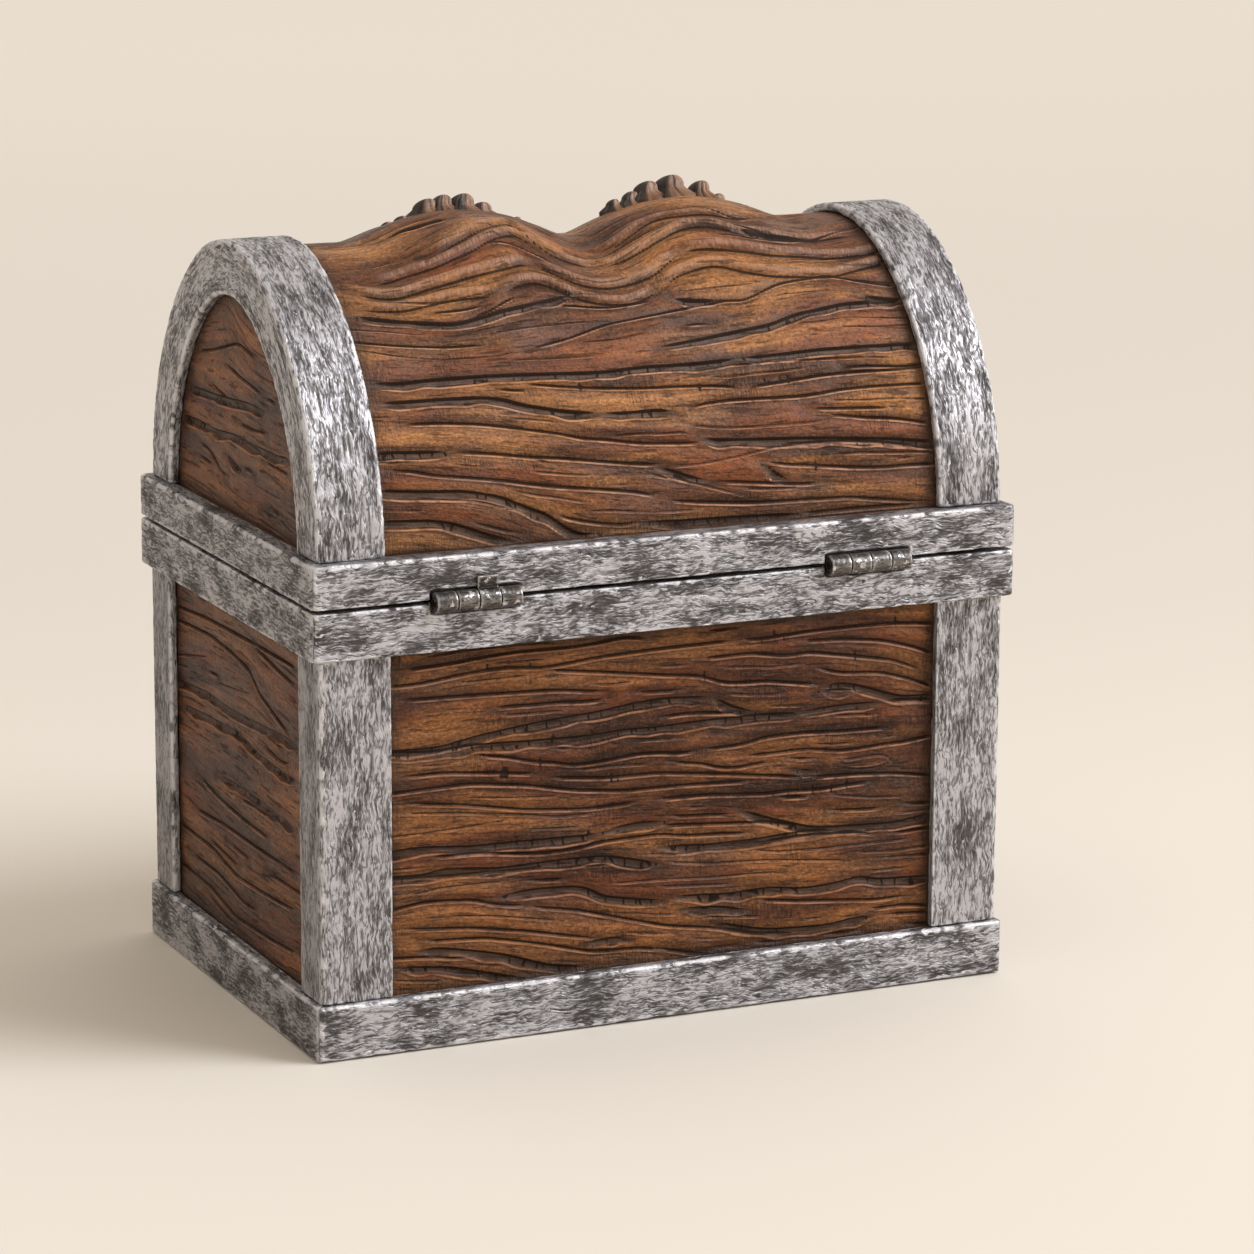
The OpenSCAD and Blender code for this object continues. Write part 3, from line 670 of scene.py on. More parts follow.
def closed_slab(name, rows, marks, loop=False):
    """A closed solid skinned over rows of points in millimetres.

    The last row joins the first. The ends are flat, or join each other where loop is set.
    marks are vectors for each point, kept under their names for the materials.
    """
    count, wide = rows.shape[:2]
    deselect()
    bpy.ops.mesh.primitive_grid_add(x_subdivisions=wide - 1, y_subdivisions=count, size=1)
    piece = bpy.context.object
    piece.name = name
    piece.data.name = name
    move_points(piece, np.concatenate([rows, rows[:1]]).reshape(-1, 3) * MM)
    for mark, values in marks.items():
        keep_vector(piece, mark, np.concatenate([values, values[:1]]))
    bpy.ops.object.mode_set(mode="EDIT")
    bpy.ops.mesh.select_all(action="SELECT")
    bpy.ops.mesh.remove_doubles(threshold=1e-7)
    if not loop:
        bpy.ops.mesh.fill_holes(sides=0)
    bpy.ops.mesh.select_all(action="SELECT")
    bpy.ops.mesh.normals_make_consistent(inside=False)
    bpy.ops.object.mode_set(mode="OBJECT")
    bpy.ops.object.shade_smooth()
    bpy.context.scene.cursor.location = (0, 0, 0)
    return piece


def finish_piece(piece, body, nodes, material):
    """Hangs a piece on its body, hides the nodes that it stands for, and paints it."""
    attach(piece, body)
    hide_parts(*nodes)
    piece.data.materials.clear()
    piece.data.materials.append(material)
    return piece


# Node trees


def colour(value):
    """A node colour from three linear channels; a socket stays as it is."""
    return value if isinstance(value, bpy.types.NodeSocket) else (*value, 1.0)


class Nodes:
    """A node tree, with short ways to add to it; each gives what the new node puts out."""

    def __init__(self, tree):
        self.tree = tree

    def fill(self, node, inputs):
        """Sets or links inputs of a node."""
        for name, value in inputs.items():
            if isinstance(value, bpy.types.NodeSocket):
                self.tree.links.new(value, node.inputs[name])
            else:
                node.inputs[name].default_value = value

    def add(self, kind, inputs=None, **settings):
        """A node with its settings made and its inputs filled."""
        node = self.tree.nodes.new(kind)
        count = len(self.tree.nodes)
        node.location = (count % 9 * 190 - 900, 300 - count // 9 * 260)
        for name, value in settings.items():
            setattr(node, name, value)
        self.fill(node, inputs or {})
        return node.outputs

    def group(self, name, **inputs):
        """A placed copy of a shared group."""
        return self.add("ShaderNodeGroup", inputs, node_tree=bpy.data.node_groups[name])

    def maths(self, operation, a, b=0.0, clamp=False):
        """One sum on two values."""
        return self.add("ShaderNodeMath", {0: a, 1: b}, operation=operation, use_clamp=clamp)[0]

    def times(self, a, b, clamp=False):
        return self.maths("MULTIPLY", a, b, clamp)

    def plus(self, a, b, clamp=False):
        return self.maths("ADD", a, b, clamp)

    def minus(self, a, b, clamp=False):
        return self.maths("SUBTRACT", a, b, clamp)

    def most(self, a, b, clamp=False):
        return self.maths("MAXIMUM", a, b, clamp)

    def vector(self, operation, a, b):
        """One sum on two vectors."""
        return self.add("ShaderNodeVectorMath", {0: a, 1: b}, operation=operation)[0]

    def mix(self, factor, a, b, blend="MIX"):
        """Colour mix; a and b are colours or sockets."""
        return self.add("ShaderNodeMix", {0: factor, 6: colour(a), 7: colour(b)},
                        data_type="RGBA", blend_type=blend)[2]

    def stretch(self, value, low, high, to_low=0.0, to_high=1.0):
        """A value remapped and held between two ends, with soft ends."""
        inputs = {"Value": value, 1: low, 2: high, 3: to_low, 4: to_high}
        return self.add("ShaderNodeMapRange", inputs, interpolation_type="SMOOTHSTEP")[0]

    def noise(self, vector, scale, detail, roughness=0.5, distortion=0.0):
        """Plain noise from 0 to 1."""
        return self.add("ShaderNodeTexNoise", {
            "Vector": vector, "Scale": scale, "Detail": detail, "Roughness": roughness,
            "Distortion": distortion})[0]

    def streaks(self, vector, along, across, low, high, detail=3.0):
        """Noise drawn out along a direction, as a mask."""
        return self.group("Streaks", Vector=vector, Along=along, Across=across, Detail=detail,
                          Low=low, High=high)["Mask"]

    def place(self):
        """The point's place in its piece, in metres."""
        return self.add("ShaderNodeTexCoord")["Object"]

    def mark(self, name):
        """A vector mark of the piece."""
        return self.add("ShaderNodeAttribute", attribute_name=name)["Vector"]

    def parts(self, name):
        """The three parts of a vector mark."""
        return self.add("ShaderNodeSeparateXYZ", {0: self.mark(name)})


class Finish(Nodes):
    """A new material, built round its Principled BSDF."""

    def __init__(self, name):
        shared_groups()
        self.material = bpy.data.materials.new(name)
        self.material.use_nodes = True
        super().__init__(self.material.node_tree)
        self.shader = self.tree.nodes["Principled BSDF"]
        self.shader.location = (1100, 200)
        self.tree.nodes["Material Output"].location = (1400, 200)

    def made(self, base, rough, height, strength, depth, others=None):
        """The material with its colour, roughness and fine relief; depth is in mm."""
        bump = self.add("ShaderNodeBump", {"Strength": strength, "Distance": depth * MM,
                                           "Height": height})[0]
        self.fill(self.shader, {"Base Color": base, "Roughness": rough, "Normal": bump,
                                **(others or {})})
        return self.material


def group_with(name, inputs, outputs):
    """A new shader node group; an input whose value is None is a vector."""
    tree = bpy.data.node_groups.new(name, "ShaderNodeTree")
    for label, value in inputs.items():
        kind = "NodeSocketVector" if value is None else "NodeSocketFloat"
        item = tree.interface.new_socket(label, in_out="INPUT", socket_type=kind)
        if value is not None:
            item.default_value = value
    for label in outputs:
        tree.interface.new_socket(label, in_out="OUTPUT", socket_type="NodeSocketFloat")
    start, end = tree.nodes.new("NodeGroupInput"), tree.nodes.new("NodeGroupOutput")
    start.location, end.location = (-1200, 0), (900, 0)
    return Nodes(tree), start.outputs, end


def make_streaks():
    """Noise drawn out along a direction: a mask from 0 to 1."""
    p, given, out = group_with("Streaks", {
        "Vector": None, "Along": 0.1, "Across": 1.0, "Detail": 3.0, "Low": 0.35, "High": 0.65,
    }, ["Mask"])
    pull = p.add("ShaderNodeCombineXYZ", {0: given["Along"], 1: given["Across"], 2: 1.0})[0]
    moved = p.vector("MULTIPLY", given["Vector"], pull)
    drawn = p.noise(moved, 1.0, given["Detail"], 0.55)
    mask = p.add("ShaderNodeMapRange", {"Value": drawn, 1: given["Low"], 2: given["High"]})[0]
    p.fill(out, {"Mask": mask})


def make_dashes():
    """Paint dragged in short uneven dashes: how thickly it lies, its pits and its cracks."""
    p, given, out = group_with("Dry brush dashes", {
        "Vector": None, "Length": 0.4, "Thickness": 1.9, "Patches": 0.3,
    }, ["Level", "Pits", "Cracks"])
    run, length, thickness = given["Vector"], given["Length"], given["Thickness"]
    sway = p.add("ShaderNodeTexNoise", {"Vector": run, "Scale": 0.28, "Detail": 1.0})["Color"]
    lean = p.vector("MULTIPLY", p.vector("SUBTRACT", sway, (0.5, 0.5, 0.5)), (1.8, 1.5, 0.0))
    moved = p.vector("ADD", run, lean)
    dashes = p.streaks(moved, length, thickness, 0.0, 1.0)
    finer = p.streaks(moved, p.times(length, 2.6), p.times(thickness, 2.1), 0.0, 1.0, 2.0)
    patch = p.streaks(run, 0.11, 0.24, 0.0, 1.0)
    both = p.plus(p.plus(p.times(dashes, 0.54), p.times(finer, 0.26)), 0.10)
    level = p.plus(both, p.times(p.minus(patch, 0.5), given["Patches"]))
    lines = p.streaks(moved, 0.30, 1.1, 0.0, 1.0, 2.0)
    away = p.maths("ABSOLUTE", p.minus(lines, 0.5))
    broken = p.streaks(moved, 0.34, 0.9, 0.44, 0.52, 2.0)
    cracks = p.times(p.stretch(away, 0.025, 0.060, 1.0, 0.0), broken)
    drawn = p.vector("MULTIPLY", moved, (0.55, 1.0, 1.0))
    cells = p.add("ShaderNodeTexVoronoi", {"Vector": drawn, "Scale": 0.95})
    chance = p.add("ShaderNodeSeparateXYZ", {0: cells["Color"]})[0]
    deep = p.stretch(cells["Distance"], 0.13, 0.24, 1.0, 0.0)
    pits = p.times(deep, p.stretch(chance, 0.70, 0.74))
    p.fill(out, {"Level": level, "Cracks": cracks, "Pits": pits})


def make_ladders():
    """Dark cross cuts at uneven steps along a grain: a mask from 0 to 1."""
    p, given, out = group_with("Ladders", {"Vector": None, "Pitch": 2.6}, ["Line"])
    pull = p.vector("MULTIPLY", given["Vector"], (1.0, 0.3, 0.0))
    turn = p.maths("DIVIDE", 1.0, given["Pitch"])
    cells = p.add("ShaderNodeTexVoronoi", {"Vector": pull, "Scale": turn},
                  feature="DISTANCE_TO_EDGE", voronoi_dimensions="2D")["Distance"]
    away = p.times(cells, given["Pitch"])
    parts = p.streaks(given["Vector"], 0.1, 0.3, 0.46, 0.54)
    p.fill(out, {"Line": p.times(p.stretch(away, 0.09, 0.19, 1.0, 0.0), parts)})


def shared_groups():
    """The node groups that several materials share, made once."""
    if "Streaks" not in bpy.data.node_groups:
        make_streaks()
        make_dashes()
        make_ladders()


def wood_paint(name, looks, light_tone):
    """Stained and dry-brushed carved wood that follows the piece's own grain, with painted light
    and shade in its tone.
    """
    p = Finish(name)
    flow = p.mark("flow")
    line, lip, grime_and_shade = p.parts("carving")
    floor, swollen, ridge = p.parts("cuts")

    def streaks(along, across, detail, low, high):
        return p.streaks(flow, along, across, low, high, detail)

    def shaded(base, mask, low, high):
        level = p.stretch(mask, 0.0, 1.0, low, high)
        grey = p.add("ShaderNodeCombineXYZ", {0: level, 1: level, 2: level})[0]
        return p.mix(1.0, base, grey, "MULTIPLY")

    wide = streaks(0.040, 0.22, 3.0, 0.38, 0.62)
    warm = streaks(0.028, 0.17, 3.0, 0.45, 0.60)
    narrow = streaks(0.09, 1.0, 4.0, 0.30, 0.70)
    fine = streaks(0.34, 2.6, 3.0, 0.28, 0.72)
    grains = streaks(1.6, 2.3, 2.0, 0.50, 0.62)
    hairs = streaks(0.18, 1.7, 2.0, 0.59, 0.65)
    pores = streaks(1.1, 2.4, 2.0, 0.36, 0.48)
    weather = streaks(0.06, 0.12, 4.0, 0.50, 0.66)
    chips = streaks(0.5, 0.5, 2.0, 0.34, 0.52)
    ribs = streaks(3.0, 0.5, 1.0, 0.42, 0.60)
    patch = streaks(0.10, 0.18, 3.0, 0.57, 0.64)
    comb = p.times(p.most(patch, p.stretch(grime_and_shade, 0.15, 0.5, 0.0, 0.7)), ribs)
    base = p.mix(wide, looks.wood_dark, looks.wood_red)
    base = p.mix(p.times(warm, 0.85), base, looks.wood_ochre)
    base = p.mix(p.times(weather, 0.55), base, looks.wood_grey)
    gold = p.times(grains, p.stretch(warm, 0.0, 1.0, 0.12, 0.55))
    base = p.mix(gold, base, looks.wood_gold)
    # Tone by the swell mark: paler on the swollen strands as dry-brushing, and darker low beside
    # the lines as painted shade
    for mask, low, high in ((narrow, 0.72, 1.22), (fine, 0.80, 1.16), (pores, 0.62, 1.04),
                            (swollen, 0.70, 1.06), (comb, 1.05, 0.66)):
        base = shaded(base, mask, low, high)
    rungs = p.group("Ladders", Vector=flow, Pitch=2.6)["Line"]
    trough = p.stretch(floor, 0.35, 0.65)
    base = p.mix(p.times(trough, 0.85), base, shaded(looks.ribbon_grey, fine, 0.6, 1.45))
    bright = p.stretch(lip, 0.77, 0.87)
    thick = p.times(p.stretch(narrow, 0.05, 0.8, 0.35, 0.95),
                    p.stretch(chips, 0.0, 1.0, 0.35, 1.0))
    tan = p.mix(weather, p.mix(warm, looks.lip_tan, looks.lip_gold), looks.lip_grey)
    crest = p.times(p.stretch(ridge, 0.35, 0.85),
                    p.stretch(p.times(ribs, chips), 0.0, 1.0, 0.24, 0.62))
    base = p.mix(crest, base, p.mix(0.5, tan, looks.lip_grey))
    base = p.mix(p.times(bright, thick, True), base, tan)
    dark = p.most(p.stretch(line, 0.75, 0.87), p.times(rungs, trough))
    hairs = p.times(hairs, p.minus(1.0, bright), True)
    dark = p.most(dark, p.times(hairs, 0.62))
    base = p.mix(p.times(dark, 0.93), base, looks.groove_and_shade_dark)
    # Painted shade and a dark wash where the wood meets its frames
    shade_and_wash = p.times(grime_and_shade, p.stretch(wide, 0.0, 1.0, 0.6, 1.0), True)
    base = p.mix(shade_and_wash, base, looks.shade_and_wash_dark)
    # Painted light and shade: the surface's tone lightens or darkens the whole colour
    base = p.mix(1.0, base, light_tone, "MULTIPLY")
    rough = p.plus(p.stretch(fine, 0.0, 1.0, 0.36, 0.52), p.times(dark, 0.3), True)
    height = p.plus(p.times(fine, 0.4), p.times(p.minus(bright, dark), 0.9))
    height = p.plus(p.minus(height, p.times(comb, 0.5)), p.times(grains, 0.3))
    return p.made(base, rough, height, 0.8, 0.14, {"Specular IOR Level": 0.20})


def knot_paint(name, looks):
    """Dark carved buds with pale ribs, with painted highlights on their tops and painted shade
    on their +x flanks.
    """
    p = Finish(name)
    place = p.place()
    valley_and_side_shade, tip, root = p.parts("carving")
    fibres = p.streaks(p.mark("flow"), 2.6, 0.3, 0.36, 0.64, 2.0)
    spots = p.noise(place, 900.0, 3.0, 0.6)
    cloud = p.noise(place, 260.0, 2.0)
    base = p.mix(p.stretch(cloud, 0.35, 0.65), looks.wood_red, looks.wood_ochre)
    base = p.mix(p.times(fibres, 0.3), base, looks.lip_tan)
    # Painted highlight: the tip mark lights the tops of the ribs on the side away from +x
    pale = p.times(tip, p.stretch(spots, 0.32, 0.58, 0.35, 1.0), True)
    base = p.mix(p.times(pale, 1.1, True), base, looks.knot_brush_and_highlight)
    base = p.mix(p.stretch(valley_and_side_shade, 0.30, 0.95, 0.0, 0.93), base, looks.groove_and_shade_dark)
    base = p.mix(p.times(root, 0.6), base, looks.wood_dark)
    rough = p.stretch(spots, 0.3, 0.7, 0.42, 0.6)
    return p.made(base, rough, p.plus(spots, p.times(fibres, 1.5)), 0.6, 0.12)


def brushed_paint(name, looks, length, thickness, patches, thin):
    """Silver paint dragged over a dark coat, rubbed bright along the edges, with painted shade
    on the sides that face along x.
    """
    p = Finish(name)
    run = p.mark("run")
    worn, nook, grime_and_shade = p.parts("wear")
    brush = p.group("Dry brush dashes", Vector=run, Length=length, Thickness=thickness,
                    Patches=patches)
    level = p.minus(brush["Level"], thin)
    silver = p.mix(p.stretch(level, 0.455, 0.55), looks.silver_grey, looks.silver_pale)
    base = p.mix(p.stretch(level, 0.41, 0.445, 1.0, 0.0), silver, looks.silver_thin)
    pits = p.times(brush["Pits"], p.stretch(level, 0.46, 0.54, 1.0, 0.25))
    holes = p.most(pits, p.times(brush["Cracks"], 0.8))
    bare = p.most(p.stretch(level, 0.35, 0.38, 1.0, 0.0), holes)
    chips = p.streaks(run, 0.5, 0.9, 0.36, 0.50, 2.0)
    edge = p.times(p.stretch(worn, 0.45, 0.85), p.stretch(chips, 0.0, 1.0, 0.55, 1.0))
    bare = p.times(bare, p.minus(1.0, edge), True)
    # Painted shade: the third wear mark darkens the sides that face along x
    dark = p.most(bare, p.most(p.times(nook, 0.9, True), grime_and_shade))
    base = p.mix(p.times(edge, 0.85), base, looks.silver_bright)
    base = p.mix(p.times(dark, 0.92), base, looks.paint_dark)
    metal = p.times(p.minus(1.0, dark), 0.65, True)
    rough = p.plus(p.stretch(level, 0.38, 0.58, 0.52, 0.41), p.times(edge, 0.1))
    rough = p.plus(rough, p.times(dark, 0.2), True)
    height = p.minus(p.stretch(level, 0.33, 0.60), p.times(holes, 1.2))
    return p.made(base, rough, height, 0.75, 0.11, {"Metallic": metal})


def felt_finish(name, tint):
    """Soft short-haired felt."""
    p = Finish(name)
    place = p.place()
    hairs = p.noise(place, 2600.0, 4.0, 0.75)
    tufts = p.noise(place, 420.0, 3.0, distortion=0.6)
    rubbed = p.noise(place, 45.0, 2.0)
    dark, pale = [c * 0.55 for c in tint], [min(1.0, c * 1.5 + 0.02) for c in tint]
    base = p.mix(p.stretch(tufts, 0.3, 0.7), dark, tint)
    base = p.mix(p.stretch(hairs, 0.52, 0.75, 0.0, 0.6), base, pale)
    base = p.mix(p.stretch(rubbed, 0.5, 0.75, 0.0, 0.25), base, pale)
    rough = p.stretch(hairs, 0.3, 0.7, 0.82, 0.98)
    return p.made(base, rough, p.plus(hairs, p.times(tufts, 0.8)), 0.8, 0.18, {
        "Sheen Weight": 0.35, "Sheen Roughness": 0.5, "Specular IOR Level": 0.15})


def steel_finish(name, looks, marked=True):
    """Darkened steel, rubbed bright on its high spots."""
    p = Finish(name)
    place = p.place()
    spots = p.noise(place, 620.0, 4.0, 0.65)
    cloud = p.noise(place, 190.0, 3.0)
    scratches = p.noise(place, 2400.0, 2.0)
    bright = p.stretch(spots, 0.56, 0.64, 0.0, 0.85)
    if marked:
        worn, nook, _ = p.parts("wear")
        bright = p.most(bright, p.times(worn, 0.5), True)
        bright = p.times(bright, p.minus(1.0, nook), True)
    base = p.mix(p.stretch(cloud, 0.35, 0.65), looks.steel_dark, looks.steel_brown)
    base = p.mix(bright, base, looks.steel_bright)
    rough = p.stretch(bright, 0.0, 1.0, 0.32, 0.22)
    height = p.plus(spots, p.times(scratches, 0.3))
    return p.made(base, rough, height, 0.45, 0.12, {"Metallic": 0.85})


def plain_wood_finish(name, looks):
    """Stained wood for the hidden flat boards, with grain along their length."""
    p = Finish(name)
    flow = p.vector("MULTIPLY", p.place(), (1 / MM, 1 / MM, 1 / MM))
    wide = p.streaks(flow, 0.03, 0.3, 0.35, 0.65)
    fine = p.streaks(flow, 0.12, 2.6, 0.3, 0.7)
    base = p.mix(wide, looks.wood_dark, looks.wood_red)
    base = p.mix(p.times(fine, 0.35), base, looks.wood_ochre)
    return p.made(base, p.stretch(fine, 0.0, 1.0, 0.5, 0.66), fine, 0.4, 0.12)


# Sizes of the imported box, in millimetres


def span(node, axis):
    """Lowest and highest place of a node along an axis, in millimetres."""
    low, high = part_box(node)
    return low[axis] / MM, high[axis] / MM


def spans(node):
    """Lowest and highest places of a node along x, y and z, in millimetres."""
    return [span(node, axis) for axis in range(3)]


def panel_marks(shape, seed, us, grid, grime_and_shade, spread):
    """Marks for the paint of a carved piece whose first rows are its face.

    spread turns a grid over the window, and the value beside it, into those rows.
    """
    flow, carving, cuts = np.zeros(shape), np.zeros(shape), np.zeros(shape)
    face = spread(grime_and_shade, 1)
    tall = len(face)
    flow[..., 0] = us
    flow[:tall, :, 1] = spread(grid["flow"], None)
    flow[..., 2] = seed * 3.7
    carving[:tall, :, 0], carving[:tall, :, 1] = spread(grid["line"], 0), spread(grid["lip"], 0)
    carving[:tall, :, 2] = face
    carving[tall:, :, 2] = 1
    for place, mark in enumerate(("floor", "swell", "ridge")):
        cuts[:tall, :, place] = spread(grid[mark], 0)
    return {"flow": flow, "carving": carving, "cuts": cuts}


def framed(values, border, width=1):
    """Values turned into rows with a border of one value, or of their own edge for None."""
    if border is None:
        return np.pad(values, width, mode="edge").T
    return np.pad(values, width, constant_values=border).T


def eased_relief(grid, inside, looks):
    """Relief of a carving, set into its panel and faded out at the edge."""
    return (grid["relief"] * looks.relief - looks.sink) * np.clip(inside / FADE, 0, 1)


def frame_shade(inside, reach, seed, u, v):
    """Painted shade together with dark grime where a panel meets its frame; inside is the way to
    the edge.
    """
    wander = reach * (1 + 0.5 * noise_2d(u * 0.16, v * 0.3, seed + 9))
    return 0.92 * np.clip(1 - inside / wander, 0, 1) ** 1.6


def flat_panel(node, lines, axis, side, window, looks, seed, cells, fillers, paint):
    """One carved flat panel: its carving fills the window between the posts."""
    (u0, v0), (u1, v1) = window
    across = 1 - axis
    grid = carve(lines, even(u0, u1, cells[0]), even(v0, v1, cells[1]), seed, fillers)
    u, v = grid["u"], grid["v"]
    inside = np.minimum(np.minimum(u - u0, u1 - u), np.minimum(v - v0, v1 - v))
    relief = eased_relief(grid, inside, looks)
    grime_and_shade = frame_shade(inside, 3.2, seed, u, v)
    low, high = span(node, across)
    bottom, top = span(node, 2)
    rear, face = span(node, axis)[::side]
    us = np.concatenate([[low], u[:, 0], [high]])
    vs = np.concatenate([[bottom], v[0], [top]])
    wide, tall = len(us), len(vs)
    rows = np.zeros((tall + 2, wide, 3))
    rows[:tall, :, across] = us
    rows[:tall, :, 2] = vs[:, None]
    rows[:tall, :, axis] = face + side * framed(relief, 0)
    rows[tall:, :, across] = us
    rows[tall:, :, axis] = rear
    rows[tall, :, 2], rows[tall + 1, :, 2] = top, bottom
    piece = closed_slab(f"{node}_carved", rows,
                        panel_marks(rows.shape, seed, us, grid, grime_and_shade, framed))
    return finish_piece(piece, "box", [node], paint)


def flipped(lines, middle):
    """Lines turned half round about a point on the panel's middle line."""
    return [(kind, np.array([0, 2 * middle]) - points[::-1], cut)
            for kind, points, cut in lines]


def mirrored(lines):
    """Lines mirrored left to right."""
    return [(kind, points[::-1] * [-1, 1], cut) for kind, points, cut in lines]


def paint_named(name, make, *given):
    """A material made once and used again under its name."""
    return bpy.data.materials.get(name) or make(name, *given)


def tint(label, words, value):
    """A colour property of three linear channels."""
    return bpy.props.FloatVectorProperty(name=label, description=words, default=value,
                                         subtype="COLOR", size=3, min=0, max=1)


def number(label, words, value, **limits):
    """A number property."""
    return bpy.props.FloatProperty(name=label, description=words, default=value, **limits)


class BoxLooks(bpy.types.PropertyGroup):
    """Colours and depths of the dice box."""

    wood_dark: tint("Dark wood", "Umber of the deepest stain", (0.046, 0.019, 0.009))
    wood_red: tint("Red wood", "Red-brown of the middle stain", (0.122, 0.041, 0.016))
    wood_ochre: tint("Ochre wood", "Golden brown of the worn strands", (0.215, 0.097, 0.033))
    wood_grey: tint("Grey wood", "Weathered grey-brown patches", (0.092, 0.053, 0.040))
    wood_gold: tint("Gold specks", "Golden specks brushed over the ochre",
                    (0.300, 0.155, 0.066))
    ribbon_grey: tint("Groove floor", "Grey-brown floor of the wide grooves",
                      (0.060, 0.040, 0.031))
    lip_tan: tint("Dry-brushed tan", "Pale brushing on raised lips", (0.300, 0.168, 0.112))
    lip_gold: tint("Dry-brushed gold", "Golden brushing on warm strands",
                   (0.330, 0.168, 0.082))
    lip_grey: tint("Dry-brushed grey", "Pinkish grey brushing on weathered strands",
                   (0.262, 0.172, 0.140))
    # Pale dry-brushing on the knots, also their painted highlight
    knot_brush_and_highlight: tint("Dry-brushed pale", "Palest brushing, on the knots", (0.400, 0.265, 0.200))
    # Dark wash in the carved lines, also the knots' painted shade
    groove_and_shade_dark: tint("Groove", "Dark wash in the carved lines", (0.010, 0.005, 0.003))
    # Dark wash beside the frames, also used as painted shade where the panels meet them
    shade_and_wash_dark: tint("Grime", "Dark wash beside the frames", (0.028, 0.018, 0.013))
    silver_grey: tint("Silver grey", "Silver paint where it is thin", (0.235, 0.225, 0.234))
    silver_pale: tint("Silver pale", "Silver paint where it is thick", (0.525, 0.507, 0.532))
    silver_thin: tint("Silver thin", "Dark coat showing through", (0.092, 0.082, 0.083))
    silver_bright: tint("Silver bright", "Rubbed edges", (0.720, 0.705, 0.720))
    paint_dark: tint("Dark coat", "Dark coat under the silver", (0.028, 0.021, 0.017))
    steel_dark: tint("Dark steel", "Aged steel of the hinges", (0.030, 0.025, 0.022))
    steel_brown: tint("Brown steel", "Browned steel of the hinges", (0.070, 0.052, 0.042))
    steel_bright: tint("Bright steel", "Rubbed steel of the hinges", (0.720, 0.700, 0.690))
    lining_red: tint("Lining felt", "Felt inside the box", (0.130, 0.012, 0.018))
    base_black: tint("Base felt", "Felt under the box", (0.014, 0.013, 0.012))
    floor_cream: tint("Floor", "Floor and backdrop", (0.762, 0.716, 0.640))
    relief: number("Relief", "Share of the carving's depth", 1.0, min=0.2, max=1.5)
    sink: number("Sink", "Carving set into its panel, in mm", 0.2, min=0.0, max=1.0)
    cell_along: number("Cell along", "Grid of the carving along its grain, in mm", 0.55,
                       min=0.2, max=2.0)
    cell_across: number("Cell across", "Grid of the carving over its grain, in mm", 0.165,
                        min=0.1, max=2.0)
    quick_share: number("Quick share", "How much coarser quick looks are", 1.4,
                        min=1.0, max=4.0)


def looks_now():
    """The looks in the current scene."""
    return bpy.context.scene.dice_box_looks


def cells_now(looks, share_u=1.0, share_v=1.0):
    """Grid steps along and across the grain for this run, in millimetres."""
    coarse = 1.0
    return looks.cell_along * share_u * coarse, looks.cell_across * share_v * coarse


# Painted light and shade: the colour each carved surface's wood is multiplied by, lighter on
# the barrel and darker on the sides and lid ends, as light falls on them; it also sets the
# stain's hue
LIGHT_TONES = {"panel": (0.99, 0.84, 0.72), "side": (0.80, 0.61, 0.45), "barrel": (1.45, 1.34, 1.22),
         "end": (0.91, 0.72, 0.56)}


def wood_now(part):
    """The carved wood's paint, one copy for each kind of surface, each with its painted light
    tone.
    """
    return paint_named(f"{part}_wood_paint", wood_paint, looks_now(), LIGHT_TONES[part])


# How far in from its edge a carving fades out, how far the lid's end panels lie inside the
# outline, and how far within the barrel's face their carving shows, in millimetres
FADE = 0.5
END_INSET = 5.1
END_WINDOW = 7.0
# Share of the barrel's run from the back that has the fine grid, and how much coarser the
# rest is
FINE_SHARE = 0.6
FRONT_COARSE = 1.7


class CarvePanels(bpy.types.Operator):
    """Carve the four flat panels of the box"""

    bl_idname = "dice_box.carve_panels"
    bl_label = "Carve panels"

    def execute(self, context):
        looks = looks_now()
        x0, x1 = span("back_left_post", 0)[1], span("back_right_post", 0)[0]
        y0, y1 = span("front_right_post", 1)[1], span("back_right_post", 1)[0]
        z0, z1 = span("base_band", 2)[1], span("body_rim_band", 2)[0]
        back_y, side_x = span("back_panel", 1)[1], span("right_panel", 0)[1]
        back = read_lines(BACK_LINES, lambda p: on_plane(p, 1, back_y)[:, [0, 2]])
        side = read_lines(SIDE_LINES, lambda p: on_plane(p, 0, side_x)[:, [1, 2]])
        middle = (z0 + z1) / 2
        wide, deep = [(x0, z0), (x1, z1)], [(y0, z0), (y1, z1)]
        for node, lines, axis, out, window, seed, shares, fillers, wood in (
                ("back_panel", back, 1, 1, wide, 11, (1.0, 0.9), 60, "panel"),
                ("front_panel", flipped(back, middle), 1, -1, wide, 23, (1.1, 1.1), 60, "panel"),
                ("right_panel", side, 0, 1, deep, 31, (0.75, 1.0), 26, "side"),
                ("left_panel", flipped(side, middle), 0, -1, deep, 43, (0.8, 1.0), 26, "side")):
            flat_panel(node, lines, axis, out, window, looks, seed, cells_now(looks, *shares),
                       fillers, wood_now(wood))
        return {"FINISHED"}


